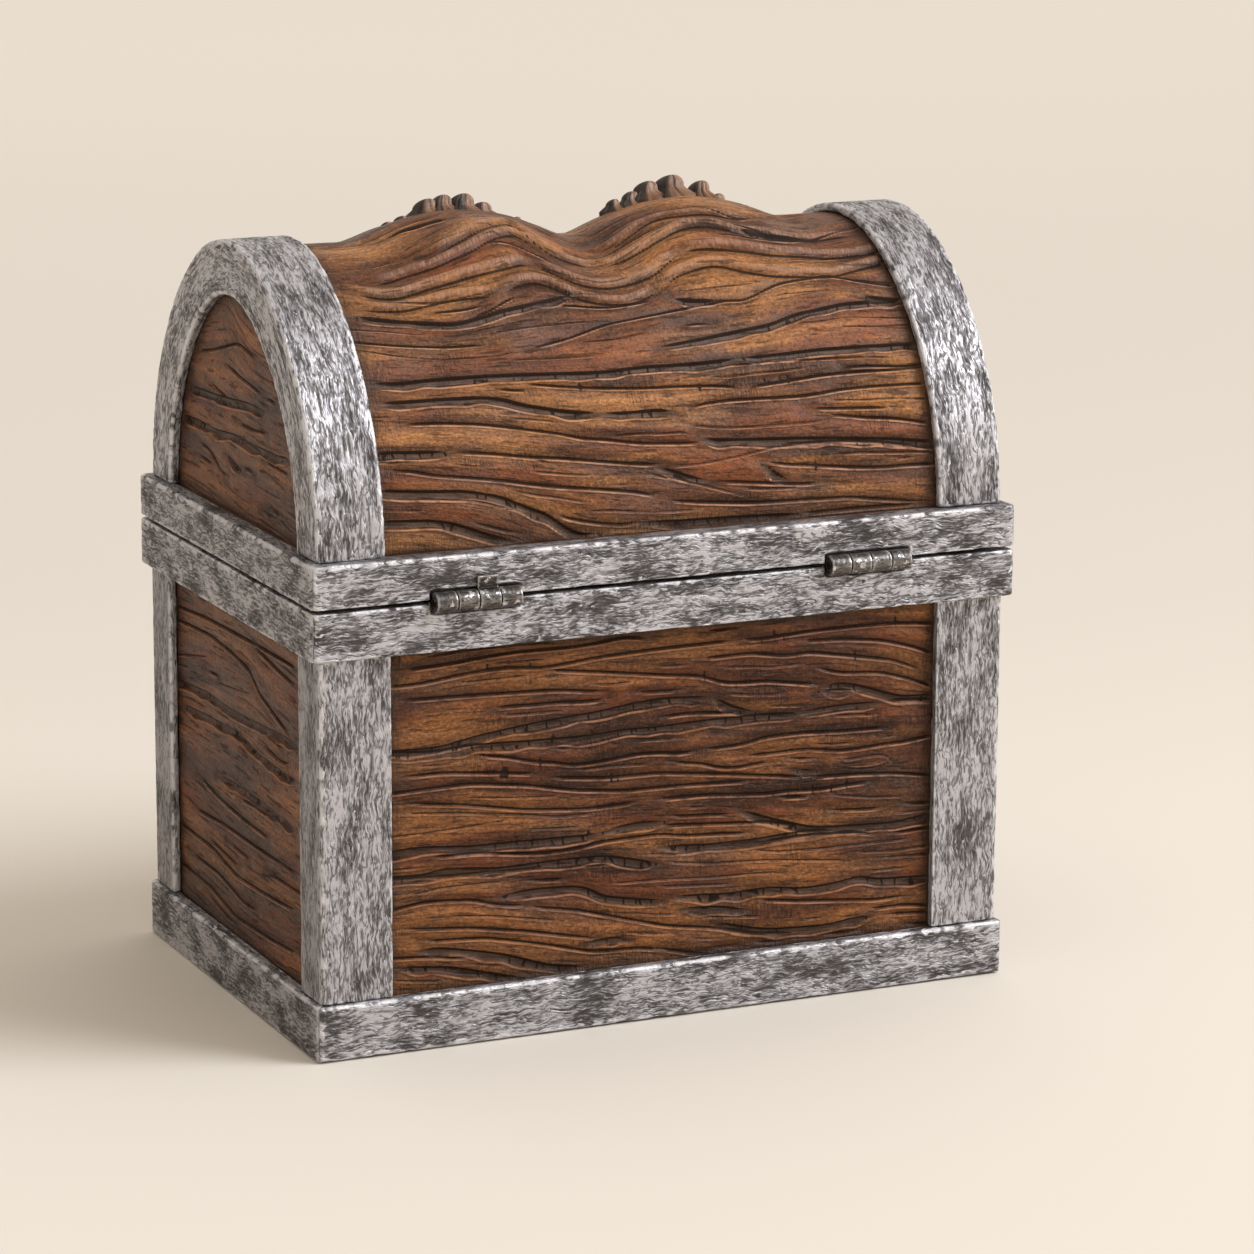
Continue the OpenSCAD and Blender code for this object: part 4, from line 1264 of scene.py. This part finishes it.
class CarveBarrel(bpy.types.Operator):
    """Carve the barrel of the lid with its two brows"""

    bl_idname = "dice_box.carve_barrel"
    bl_label = "Carve barrel"

    def execute(self, context):
        looks = looks_now()
        x0, x1 = span("left_arch_band", 0)[1], span("right_arch_band", 0)[0]
        low, high = span("lid_barrel", 0)
        lines = read_lines(BARREL_LINES, on_barrel)
        turned = [line for line in flipped(lines, ARCH_RUN / 2)
                  if line[1][:, 1].min() > ARCH_RUN / 2 + 4]
        step_u, step_v = cells_now(looks, 1.22, 1.0)
        fine_to = FINE_SHARE * ARCH_RUN
        vs = np.concatenate([even(0, fine_to, step_v)[:-1],
                             even(fine_to, ARCH_RUN, FRONT_COARSE * step_v)])
        grid = carve(lines + turned, even(x0, x1, step_u), vs, 57, 90)
        u, v = grid["u"], grid["v"]
        inside = np.minimum(np.minimum(u - x0, x1 - u), np.minimum(v, ARCH_RUN - v))
        q = angle_of(v)
        relief = eased_relief(grid, inside, looks) + brow(u, q)
        us = np.concatenate([[low], u[:, 0], [high]])

        def ended(values, border):
            return framed(values, border, ((1, 1), (0, 0)))

        tall, wide = v.shape[1], len(us)
        inner = np.linspace(180, 0, 40)
        rows = np.zeros((tall + len(inner), wide, 3))
        rows[..., 0] = us
        outer = arch_point(np.repeat(q[:1].T, wide, 1), BARREL_INSET - ended(relief, 0))
        rows[:tall, :, 1], rows[:tall, :, 2] = outer
        inner_y, inner_z = arch_point(inner, BARREL_INSET + BARREL_THICK)
        rows[tall:, :, 1], rows[tall:, :, 2] = inner_y[:, None], inner_z[:, None]
        grime_and_shade = frame_shade(inside, 4.0, 57, u, v)
        piece = closed_slab("lid_barrel_carved", rows,
                            panel_marks(rows.shape, 57, us, grid, grime_and_shade, ended))
        finish_piece(piece, "lid", ["lid_barrel"], wood_now("barrel"))
        return {"FINISHED"}


class CarveLidEnds(bpy.types.Operator):
    """Carve the two half-round end panels of the lid"""

    bl_idname = "dice_box.carve_lid_ends"
    bl_label = "Carve lid ends"

    def execute(self, context):
        looks = looks_now()
        face = span("right_lid_end", 0)[1]
        lines = read_lines(END_LINES, lambda p: on_plane(p, 0, face)[:, [1, 2]])
        self.end("right_lid_end", lines, 1, 71, looks)
        self.end("left_lid_end", mirrored(lines), -1, 83, looks)
        return {"FINISHED"}

    def end(self, node, lines, side, seed, looks):
        """One end panel, carved up to its round edge."""
        half = span(node, 1)[1] - 0.4
        top = span(node, 2)[1]
        step_u, step_v = cells_now(looks, 0.7, 1.05)
        grid = carve(lines, even(-half, half, step_u), even(SPRING_Z, top, step_v), seed, 22)
        us, vs = grid["u"][:, 0], grid["v"][0]
        rim_y, rim_z = arch_point(np.linspace(0, 180, 721), END_INSET)
        height = np.interp(us, rim_y[::-1], rim_z[::-1]) - SPRING_Z
        share = np.linspace(0, 1, int(len(vs) * 0.9))
        y = np.repeat(us[:, None], len(share), 1)
        z = SPRING_Z + share * height[:, None]

        def bent(values):
            at = (z - vs[0]) / (vs[1] - vs[0])
            low = np.clip(at.astype(int), 0, len(vs) - 2)
            part = at - low
            pick = np.arange(len(us))[:, None]
            return (values[pick, low] * (1 - part) + values[pick, low + 1] * part).T

        _, out = arch_place(y, z)
        inside = np.minimum(-out - END_WINDOW, z - SPRING_Z)
        rear, front = span(node, 0)[::side]
        tall, wide = len(share), len(us)
        rows = np.zeros((tall + 2, wide, 3))
        relief = eased_relief({"relief": bent(grid["relief"])}, inside.T, looks)
        rows[:tall, :, 0] = front + side * relief
        rows[:tall, :, 1], rows[:tall, :, 2] = y.T, z.T
        rows[tall:, :, 0] = rear
        rows[tall:, :, 1] = us
        rows[tall, :, 2], rows[tall + 1, :, 2] = z[:, -1], SPRING_Z
        grime_and_shade = frame_shade(np.maximum(inside, 0), 4.0, seed, y, z)

        def laid(values, _):
            return values.T if values is grime_and_shade else bent(values)

        piece = closed_slab(f"{node}_carved", rows,
                            panel_marks(rows.shape, seed, us, grid, grime_and_shade, laid))
        finish_piece(piece, "lid", [node], wood_now("end"))


# Carved knots along each brow: place across the brow, how high, how big, each a share
LEFT_KNOTS = [(0.64, 0, 0.4), (0.54, 0.44, 0.5), (0.38, 0.62, 0.65), (0.22, 0.87, 0.8),
              (0.01, 1, 1), (-0.27, 0.8, 0.85), (-0.44, 0.43, 0.55), (-0.68, 0.08, 0.4)]
RIGHT_KNOTS = [(0.46, 0.2, 0.45), (0.33, 0.33, 0.5), (0.1, 0.74, 0.8), (-0.04, 0.82, 0.8),
               (-0.22, 0.82, 0.9), (-0.39, 0.57, 0.7), (-0.71, 0.13, 0.4)]
# Where they stand round the arch, their radius and rise in millimetres, how fast and how far
# they widen towards the root, and how deep the root lies
KNOT_Q = 103.0
KNOT_R = 2.1
KNOT_RISE = 6.1
KNOT_FLARE = 1.15
KNOT_WIDEST = 2.0
KNOT_ROOT_INSET = 3.25
# Shares of a knot's girth: its ribs, the strands on them, its one cleft, its width along the
# brow, how far its tip leans and how far it sags between ribs
KNOT_RIB = 0.22
KNOT_STRAND = 0.05
KNOT_CLEFT = 0.24
KNOT_WIDTH = 1.2
KNOT_LEAN = 0.38
KNOT_SAG = 0.10


class CarveKnots(bpy.types.Operator):
    """Carve the ribbed knots on the two brows"""

    bl_idname = "dice_box.carve_knots"
    bl_label = "Carve knots"

    def execute(self, context):
        for name, side, knots in (("left_brow_knots", -1, LEFT_KNOTS),
                                  ("right_brow_knots", 1, RIGHT_KNOTS)):
            parts = [self.knot(f"{name}_{number}", side * BROW_X + x * BROW_HALF_W,
                               rise * KNOT_RISE, size * KNOT_R, number + 3 * side)
                     for number, (x, rise, size) in enumerate(knots)]
            deselect()
            for part in parts:
                part.select_set(True)
            bpy.context.view_layer.objects.active = parts[0]
            bpy.ops.object.join()
            piece = bpy.context.object
            piece.name = name
            piece.data.name = name
            bpy.ops.object.shade_smooth()
            paint = paint_named("knot_wood_paint", knot_paint, looks_now())
            finish_piece(piece, "lid", ["lid_barrel"], paint)
        return {"FINISHED"}

    def knot(self, name, x, rise, radius, seed):
        """A ribbed bud that leans out of the brow, made from one sphere."""
        deselect()
        bpy.ops.mesh.primitive_uv_sphere_add(segments=72, ring_count=44, radius=1)
        bud = bpy.context.object
        bud.name = name
        at = places(bud)
        turn = np.arctan2(at[:, 1], at[:, 0])
        low_y, low_z = arch_point(KNOT_Q, KNOT_ROOT_INSET)
        top_y, top_z = arch_point(KNOT_Q, radius - rise)
        root, tip = np.array([x, low_y, low_z]), np.array([x, top_y, top_z])
        axis = (tip - root) / np.linalg.norm(tip - root)
        level = at[:, 2]
        girth = np.sqrt(np.clip(1 - level ** 2, 0, 1))
        phase = 1.7 * seed
        uneven = turn + 0.5 * np.sin(2 * turn + phase) + 0.3 * np.sin(3 * turn + 2 * phase)
        ribs = 7 if radius > 0.7 * KNOT_R else 5
        rib = np.abs(np.sin((uneven * ribs + phase + 1.3 * level) / 2)) ** 0.6
        strands = np.abs(np.sin((uneven * ribs * 3 + 2.1 * level) / 2))
        lobes = 0.10 * np.cos(2 * turn + phase) + 0.07 * np.cos(3 * turn - 2 * phase)
        cleft = KNOT_CLEFT * np.exp(-(np.angle(np.exp(1j * (turn - 0.5))) / 0.45) ** 2)
        cuts = KNOT_RIB * (1 - rib) + KNOT_STRAND * (1 - strands) + cleft
        shrink = 1 - cuts * girth ** 0.7
        shrink += lobes * girth
        tall = np.linalg.norm(tip - root) + radius
        down = tall * ((1 - level) / 2) ** 1.4
        dome = radius * np.sqrt(np.clip(1 - np.abs(1 - down / radius) ** 2.1, 0, 1))
        flare = radius * (1 + KNOT_FLARE * (down / radius - 1))
        girth_r = np.minimum(np.where(down < radius, dome, flare), radius * KNOT_WIDEST)
        girth_r = girth_r * np.sqrt(np.clip((tall - down) / (0.15 * tall), 0, 1))
        lean_x = -KNOT_LEAN * radius * np.clip(1 - down / radius, 0, 1) ** 1.5
        side_dir = np.cross(axis, [1.0, 0.0, 0.0])
        around = np.column_stack([np.cos(turn), np.sin(turn)])
        ring = (np.outer(around[:, 0] * shrink * girth_r * KNOT_WIDTH + lean_x, [1.0, 0.0, 0.0])
                + np.outer(around[:, 1] * shrink * girth_r, side_dir))
        sag = KNOT_SAG * radius * (1 - rib) * np.clip(1 - down / radius, 0, 1)
        base = tip + np.outer(radius - down - sag, axis)
        move_points(bud, (base + ring) * MM)
        # Painted shade on each knot's +x flank, and a painted highlight on the tops of its ribs
        away = around[:, 0] * girth
        valley_and_side_shade = np.clip(0.9 * (1 - rib) + 2.2 * cleft + 1.1 * np.clip(away + 0.2, 0, 1), 0, 1)
        lit = np.clip(1.5 - down / radius, 0, 1) * rib * np.clip(1.1 - 0.9 * away, 0, 1)
        deep = np.clip(down / (1.8 * radius) - 0.6, 0, 1)
        masks = np.column_stack([valley_and_side_shade, lit * (0.45 + 0.55 * strands), deep])
        keep_vector(bud, "carving", masks)
        keep_vector(bud, "flow", np.column_stack([turn * radius, level * radius * 2,
                                                  np.full(len(turn), seed * 5.0)]))
        return bud


# Metal pieces: a remeshed copy of each node, softened, dented and marked for its paint


def neighbours(piece):
    """Both ends of every edge."""
    found = np.empty(len(piece.data.edges) * 2, np.int32)
    piece.data.edges.foreach_get("vertices", found)
    return found.reshape(-1, 2)


def eased(points, pairs, steps, share=0.5):
    """Points drawn towards their neighbours a few times."""
    count = np.bincount(pairs.ravel(), minlength=len(points))[:, None]
    for _ in range(steps):
        total = np.zeros_like(points)
        for i in range(3):
            total[:, i] = (np.bincount(pairs[:, 0], points[pairs[:, 1], i], len(points))
                           + np.bincount(pairs[:, 1], points[pairs[:, 0], i], len(points)))
        points = points + share * (total / np.maximum(count, 1) - points)
    return points


def ring_run(points):
    """Run along a flat ring and across its face, for points in millimetres."""
    x, y, z = points.T
    half_x, half_y = np.abs(x).max(), np.abs(y).max()
    long_side = half_y - np.abs(y) < half_x - np.abs(x)
    along = np.where(long_side, x, y)
    across = z + np.where(long_side, np.abs(y), np.abs(x))
    return np.column_stack([along, across, np.where(long_side, 3.0 + np.sign(y), np.sign(x))])


def post_run(points):
    """Run up a corner post and across its two faces."""
    x, y, z = points.T
    return np.column_stack([z, np.abs(x) - np.abs(y), np.sign(x) * 5 + np.sign(y) * 2])


def arch_run(points):
    """Run along an arch band and across it."""
    x, y, z = points.T
    q, out = arch_place(y, z)
    return np.column_stack([run_of(q), np.abs(x) - out, np.sign(x) * 4])


# How far an edge stands out, as a share of the voxel, before it is rubbed bright
WEAR_REACH = 0.075


def remeshed(node, name, voxel):
    """A copy of a node with an even mesh; the voxel is in millimetres."""
    piece = bpy.data.objects.new(name, bpy.data.objects[node].data.copy())
    piece.data.name = name
    bpy.context.scene.collection.objects.link(piece)
    choose(piece)
    bpy.ops.object.mode_set(mode="EDIT")
    bpy.ops.mesh.select_all(action="SELECT")
    bpy.ops.mesh.remove_doubles(threshold=1e-6)
    bpy.ops.object.mode_set(mode="OBJECT")
    bpy.ops.object.modifier_add(type="REMESH")
    piece.modifiers[-1].mode = "VOXEL"
    piece.modifiers[-1].voxel_size = voxel * MM
    bpy.ops.object.modifier_apply(modifier=piece.modifiers[-1].name)
    return piece


def dressed(node, name, body, material, voxel, run, dent, seed, side_shade=0.0):
    """A node's copy with softened edges, small dents and marks for its paint, painted shade on
    its x-facing sides among them.
    """
    piece = remeshed(node, name, voxel)
    pairs = neighbours(piece)
    points = eased(places(piece) / MM, pairs, 1)
    move_points(piece, points * MM)
    out = read_rows(piece.data.vertex_normals, "vector")
    marks = run(points)
    dents = noise_2d(marks[:, 0] * 0.45, marks[:, 1] * 1.1 + marks[:, 2] * 7, seed)
    finer = noise_2d(marks[:, 0] * 1.1, marks[:, 1] * 2.2 + marks[:, 2] * 11, seed + 1)
    sunk = dent * (np.clip(-dents - 0.1, 0, 1) + 0.6 * np.clip(-finer - 0.15, 0, 1))
    points = points - out * sunk[:, None]
    move_points(piece, points * MM)
    lean = ((points - eased(points, pairs, 3)) * out).sum(1) / (WEAR_REACH * voxel)
    convex, concave = np.clip(lean, 0, 1), np.clip(-lean, 0, 1)
    flaw = 0.75 + 0.5 * noise_2d(marks[:, 0] * 0.7, marks[:, 1] + marks[:, 2] * 3, seed + 2)
    # Painted shade: faces that point along x, the box's ends, are marked to be darkened
    side_shade_mask = side_shade * np.clip((np.abs(out[:, 0]) - 0.7) / 0.2, 0, 1)
    keep_vector(piece, "run", marks)
    keep_vector(piece, "wear", np.column_stack([np.clip(convex * flaw, 0, 1), concave, side_shade_mask]))
    bpy.ops.object.shade_smooth()
    return finish_piece(piece, body, [node], material)


BAND_VOXEL = (0.33, 0.55)
LEAF_VOXEL = (0.14, 0.22)
# Metal pieces that share a paint: its name, how its dashes lie, the slot, how coarse the
# pieces are, how paint runs on them, their dents, how much painted shade darkens their
# sides, and first seed
BANDS = [
    ("rim_paint", (0.50, 2.7, 0.64, 0.020), "rim_bands", 1.06, ring_run, 0.12, 0.26, 1,
     (("base_band", "box"), ("body_rim_band", "box"), ("lid_rim_band", "lid"))),
    ("post_paint", (0.46, 2.8, 0.50, -0.008), "corner_posts", 1.0, post_run, 0.12, 0.42, 10,
     (("front_left_post", "box"), ("front_right_post", "box"), ("back_left_post", "box"),
      ("back_right_post", "box"))),
    ("arch_paint", (0.42, 2.5, 0.58, -0.010), "arch_bands", 1.0, arch_run, 0.14, 0.12, 20,
     (("left_arch_band", "lid"), ("right_arch_band", "lid"))),
]


class BrushBands(bpy.types.Operator):
    """Dress the base, the rims, the posts and the arch bands in brushed silver paint"""

    bl_idname = "dice_box.brush_bands"
    bl_label = "Brush bands"

    def execute(self, context):
        voxel = BAND_VOXEL[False]
        for name, dashes, slot, coarse, run, dent, side_shade, seed, nodes in BANDS:
            paint = paint_named(name, brushed_paint, looks_now(), *dashes)
            for place, (node, body) in enumerate(nodes):
                dressed(node, f"{node}_brushed", body, paint, coarse * voxel, run, dent,
                        seed + place, side_shade)
        return {"FINISHED"}


def hinge_run(points):
    """Run along a hinge and round it."""
    x, y, z = points.T
    return np.column_stack([x * 2, y * 2 + z * 2, np.zeros(len(x))])


class DressHinges(bpy.types.Operator):
    """Dress the hinges in aged steel, and finish the small fittings and hidden boards"""

    bl_idname = "dice_box.dress_hinges"
    bl_label = "Dress hinges"

    def execute(self, context):
        steel = paint_named("aged_steel", steel_finish, looks_now())
        voxel = LEAF_VOXEL[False]
        for side in ("left", "right"):
            for part, body, seed in (("body", "box", 31), ("lid", "lid", 32)):
                node = f"{side}_{part}_leaf"
                dressed(node, f"{node}_aged", body, steel, voxel, hinge_run,
                        0.03, seed)
        plain = paint_named("plain_steel", steel_finish, looks_now(), False)
        for node in ("left_hinge_pin", "right_hinge_pin", "body_leaf_screws",
                     "lid_leaf_screws", "body_magnets", "lid_magnets"):
            paint_node(node, plain)
        wood = paint_named("board_wood", plain_wood_finish, looks_now())
        for node in ("floor_panel", "lid_sill"):
            paint_node(node, wood)
        return {"FINISHED"}


def paint_node(node, material):
    """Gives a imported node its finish."""
    target = bpy.data.objects[node]
    target.data.materials.clear()
    target.data.materials.append(material)


# How far a felt keeps off the solid that it lies on, and its grid, in millimetres
FELT_CLEAR = 0.02
FELT_CELL = 1.2


def flat_felt(node, slot, tint):
    """A flat piece of felt with rounded edges, laid against the floor panel."""
    (x0, x1), (y0, y1), (bottom, top) = spans(node)
    us = np.linspace(x0, x1, max(8, int((x1 - x0) / FELT_CELL)))
    vs = np.linspace(y0, y1, max(8, int((y1 - y0) / FELT_CELL)))
    u, v = np.meshgrid(us, vs)
    inside = np.minimum(np.minimum(u - x0, x1 - u), np.minimum(v - y0, y1 - v))
    soft = 0.3 * np.clip(1 - inside / 1.2, 0, 1) ** 2
    lumps = 0.04 * noise_2d(u * 0.3, v * 0.3, 5) + 0.03 * noise_2d(u * 0.9, v * 0.9, 6)
    rows = np.zeros((len(vs) + 2, len(us), 3))
    rows[:-2, :, 0], rows[:-2, :, 1] = u, v
    rows[:-2, :, 2] = top - 0.06 - soft + lumps
    rows[-2:, :, 0] = us
    rows[-2, :, 1], rows[-1, :, 1] = y1, y0
    rows[-2:, :, 2] = bottom
    piece = closed_slab(f"{node}_soft", rows, {})
    finish_piece(piece, "box", [node], paint_named(f"{slot}_finish", felt_finish, tint))


def felt_lumps(a, b):
    """Small unevenness of glued felt, in millimetres."""
    return 0.05 * noise_2d(a * 0.25, b * 0.25, 7) + 0.03 * noise_2d(a * 0.8, b * 0.8, 8)


def felt_section(thick):
    """Steps round a strip of felt from its glued foot over its edge to its free foot.

    Each is (share of the thickness, drop below the top edge in mm).
    """
    edge = [(share, thick / 2 * (1 - math.sqrt(1 - (2 * share - 1) ** 2)))
            for share in (0.0, 0.08, 0.25, 0.5, 0.75, 0.92, 1.0)]
    return [(0.0, None), *edge] + [(1.0, drop) for drop in range(3, 64, 4)] + [(1.0, None)]


def felt_thick():
    """Thickness of the linings: what lies between the floor's felt and the walls."""
    return span("wall_lining", 0)[1] - span("floor_lining", 0)[1] - 0.1


def wall_felt(material):
    """Felt round the four walls, meeting at the corners."""
    (x0, x1), (y0, y1), (z0, z1) = spans("wall_lining")
    thick = felt_thick()
    corners = [(x0, y0), (x1, y0), (x1, y1), (x0, y1), (x0, y0)]
    path = np.concatenate([np.linspace(a, b, 40)[:-1] for a, b in zip(corners, corners[1:])]
                          + [corners[:1]])
    shrink = np.array([1 - thick / x1, 1 - thick / y1])
    section = [(share, drop) for share, drop in felt_section(thick)
               if drop is None or drop < z1 - z0 - 1]
    along = np.arange(len(path), dtype=float) % (len(path) - 1)
    rows = np.zeros((len(section), len(path), 3))
    for i, (share, drop) in enumerate(section):
        height = z0 if drop is None else z1 - drop
        swollen = share * (1 + felt_lumps(along, height) * (share > 0.9) / thick)
        depth = 0.02 + 0.95 * np.broadcast_to(swollen, along.shape)
        inwards = 1 - (1 - shrink) * depth[:, None]
        rows[i, :, :2] = path * inwards
        rows[i, :, 2] = height - FELT_CLEAR * (drop is not None)
    piece = closed_slab("wall_lining_soft", rows, {}, loop=True)
    finish_piece(piece, "box", ["wall_lining"], material)


def arch_felt(material):
    """Felt under the barrel and down both long sides of the lid."""
    (x0, x1), (y0, y1), (z0, _) = spans("lid_lining")
    inset = BARREL_INSET + BARREL_THICK
    thick = felt_thick()
    us = np.linspace(x0, x1, 90)
    q = np.linspace(0, 180, 100)
    walls = np.linspace(z0, SPRING_Z, 4)[:-1]
    outer_y, outer_z = arch_point(q, inset + FELT_CLEAR)
    inner_y, inner_z = arch_point(q[::-1], inset + thick)
    loop_y = np.concatenate([np.full(3, y1 - FELT_CLEAR), outer_y, np.full(3, y0 + FELT_CLEAR),
                             np.full(3, y0 + thick), inner_y, np.full(3, y1 - thick)])
    loop_z = np.concatenate([walls, outer_z, walls[::-1], walls, inner_z, walls[::-1]])
    rows = np.zeros((len(loop_y), len(us), 3))
    rows[..., 0] = us
    rows[..., 1], rows[..., 2] = loop_y[:, None], loop_z[:, None]
    first = len(q) + 9
    lump = felt_lumps(us[None, :], q[:, None])
    outwards = np.stack([np.cos(np.radians(q[::-1])), np.sin(np.radians(q[::-1]))])
    rows[first:first + len(q), :, 1] += outwards[0][:, None] * lump
    rows[first:first + len(q), :, 2] += outwards[1][:, None] * lump
    piece = closed_slab("lid_lining_soft", rows, {})
    finish_piece(piece, "lid", ["lid_lining"], material)


def end_felts(material):
    """Felt on the inside of the lid's two end panels."""
    (_, x1), (y0, y1), (z0, _) = spans("lid_end_linings")
    inset = SIDE_R - SIDE_SET - y1
    thick = felt_thick()
    q = np.linspace(180, 0, 90)
    edge_y, edge_z = arch_point(q, inset + FELT_CLEAR)
    shares = np.linspace(0, 1, 24)
    for side, name in ((-1, "left_end_lining_soft"), (1, "right_end_lining_soft")):
        face = side * (x1 - thick)
        back = side * (x1 - 0.01)
        rows = np.zeros((len(shares) + 2, len(q), 3))
        rows[:-2, :, 1] = rows[-2:, :, 1] = edge_y
        rows[:-2, :, 2] = z0 + shares[:, None] * (edge_z - z0)
        soft = 0.25 * np.clip(1 - (1 - shares[:, None]) * (edge_z - z0) / 1.2, 0, 1) ** 2
        rows[:-2, :, 0] = face + side * (0.06 + soft + felt_lumps(edge_y, shares[:, None] * 40))
        rows[-2:, :, 0] = back
        rows[-2, :, 2], rows[-1, :, 2] = edge_z, z0
        piece = closed_slab(name, rows, {})
        finish_piece(piece, "lid", ["lid_end_linings"], material)


class LayFelt(bpy.types.Operator):
    """Line the box and the lid with felt, and put felt under the base"""

    bl_idname = "dice_box.lay_felt"
    bl_label = "Lay felt"

    def execute(self, context):
        looks = looks_now()
        red, black = tuple(looks.lining_red), tuple(looks.base_black)
        lining = paint_named("lining_felt_finish", felt_finish, red)
        wall_felt(lining)
        arch_felt(lining)
        end_felts(lining)
        flat_felt("floor_lining", "lining_felt", red)
        flat_felt("base_felt", "base_felt", black)
        return {"FINISHED"}


class SetStage(bpy.types.Operator):
    """Set the floor, the lights and the camera"""

    bl_idname = "dice_box.set_stage"
    bl_label = "Set stage"

    def execute(self, context):
        scene = context.scene
        scene.view_settings.view_transform = "Standard"
        looks = looks_now()
        stage = scene.dice_box_stage
        deselect()
        bpy.ops.mesh.primitive_plane_add(size=stage.floor_size)
        floor = context.object
        floor.name = "studio_floor"
        floor.data.materials.append(self.floor_paint(looks.floor_cream))
        self.light_world(scene, stage, looks)
        sun = bpy.data.lights.new("soft_sun", "SUN")
        sun.energy, sun.angle = stage.sun_strength, math.radians(stage.sun_size)
        sun.color = (0.895, 0.955, 1.06)
        box = bpy.data.lights.new("soft_box", "AREA")
        box.energy, box.size = stage.box_strength, 0.5
        for data, place in ((sun, (-0.62, 0.42, 0.66)), (box, (-0.62, 0.38, 0.46))):
            back = np.array(place) - [0, 0, 0.06]
            back /= np.linalg.norm(back)
            self.put(data, *upright(back), back, place)
        data = bpy.data.cameras.new("photo_camera")
        data.sensor_width = SENSOR
        data.lens = FOCAL * SENSOR / PICTURE
        data.clip_start = 0.01
        scene.camera = self.put(data, *camera_axes(), EYE * MM)
        return {"FINISHED"}

    def put(self, data, right, up, back, place):
        """A lamp or camera at a place in metres, facing against back."""
        item = bpy.data.objects.new(data.name, data)
        bpy.context.scene.collection.objects.link(item)
        item.matrix_world = Matrix([[right[i], up[i], back[i], place[i]] for i in range(3)]
                                   + [[0, 0, 0, 1]])
        return item

    def floor_paint(self, cream):
        """Matt cream with faint clouds, with painted shade that makes it a little darker in a
        band behind the box.
        """
        p = Finish("studio_floor_paint")
        place = p.place()
        cloud = p.stretch(p.noise(place, 1.3, 2.0), 0.3, 0.7)
        cloudy = p.mix(cloud, [c * 0.985 for c in cream], cream)
        behind = p.add("ShaderNodeVectorMath", {0: place, 1: (-0.406, -0.913, 0.0)},
                       operation="DOT_PRODUCT")["Value"]
        # Painted shade: darker in a band behind the box, as the shade of a curved backdrop
        cove_shade = p.times(p.stretch(behind, -0.05, 0.3), p.stretch(behind, 0.45, 1.4, 1.0, 0.2))
        base = p.mix(cove_shade, cloudy, [c * 0.88 for c in cream])
        p.fill(p.shader, {"Base Color": base, "Roughness": 0.9, "Specular IOR Level": 0.1})
        return p.material

    def light_world(self, scene, stage, looks):
        """Even fill light, and a cream backdrop for the camera."""
        world = scene.world or bpy.data.worlds.new("studio_world")
        scene.world = world
        world.use_nodes = True
        world.node_tree.nodes.clear()
        p = Nodes(world.node_tree)
        path = p.add("ShaderNodeLightPath")
        seen = p.most(path["Is Camera Ray"], path["Is Glossy Ray"])
        seen = p.most(seen, path["Is Transmission Ray"])
        toward = p.add("ShaderNodeTexCoord")["Generated"]
        toward = p.add("ShaderNodeSeparateXYZ", {0: toward})[0]
        level = p.stretch(toward, -1.0, 1.0, 1.22 * stage.fill_strength,
                          0.72 * stage.fill_strength)
        fill = p.add("ShaderNodeBackground", {"Color": (1.0, 0.895, 0.79, 1.0),
                                              "Strength": level})[0]
        back = p.add("ShaderNodeBackground", {"Color": colour(looks.floor_cream),
                                              "Strength": 1.0})[0]
        both = p.add("ShaderNodeMixShader", {0: seen, 1: fill, 2: back})[0]
        p.add("ShaderNodeOutputWorld", {"Surface": both})


class BoxStage(bpy.types.PropertyGroup):
    """Lights and floor of the studio."""

    floor_size: number("Floor", "Width of the floor", 16.0, unit="LENGTH")
    fill_strength: number("Fill", "Strength of the even light", 0.825)
    sun_strength: number("Sun", "Strength of the soft sun", 1.70)
    sun_size: number("Sun size", "Width of the sun, in degrees", 32.0)
    box_strength: number("Soft box", "Power of the soft box", 2.1)


STEPS = [SetStage, CarvePanels, CarveBarrel, CarveLidEnds, CarveKnots, BrushBands, DressHinges,
         LayFelt]


class DiceBoxPanel(bpy.types.Panel):
    """Lists the pieces of the dice box and their looks"""

    bl_idname = "VIEW3D_PT_dice_box"
    bl_label = "Dice Box"
    bl_space_type = "VIEW_3D"
    bl_region_type = "UI"
    bl_category = "Dice Box"

    def draw(self, context):
        for step in STEPS:
            self.layout.operator(step.bl_idname)
        for values in (context.scene.dice_box_looks, context.scene.dice_box_stage):
            for name in values.__annotations__:
                self.layout.prop(values, name)


CLASSES = [BoxLooks, BoxStage, *STEPS, DiceBoxPanel]


def register():
    for kind in CLASSES:
        bpy.utils.register_class(kind)
    bpy.types.Scene.dice_box_looks = bpy.props.PointerProperty(type=BoxLooks)
    bpy.types.Scene.dice_box_stage = bpy.props.PointerProperty(type=BoxStage)


def unregister():
    del bpy.types.Scene.dice_box_looks
    del bpy.types.Scene.dice_box_stage
    for kind in reversed(CLASSES):
        bpy.utils.unregister_class(kind)


def main():
    """Makes every piece."""
    register()
    for step in STEPS:
        family, name = step.bl_idname.split(".")
        getattr(getattr(bpy.ops, family), name)()


if __name__ == "__main__":
    main()
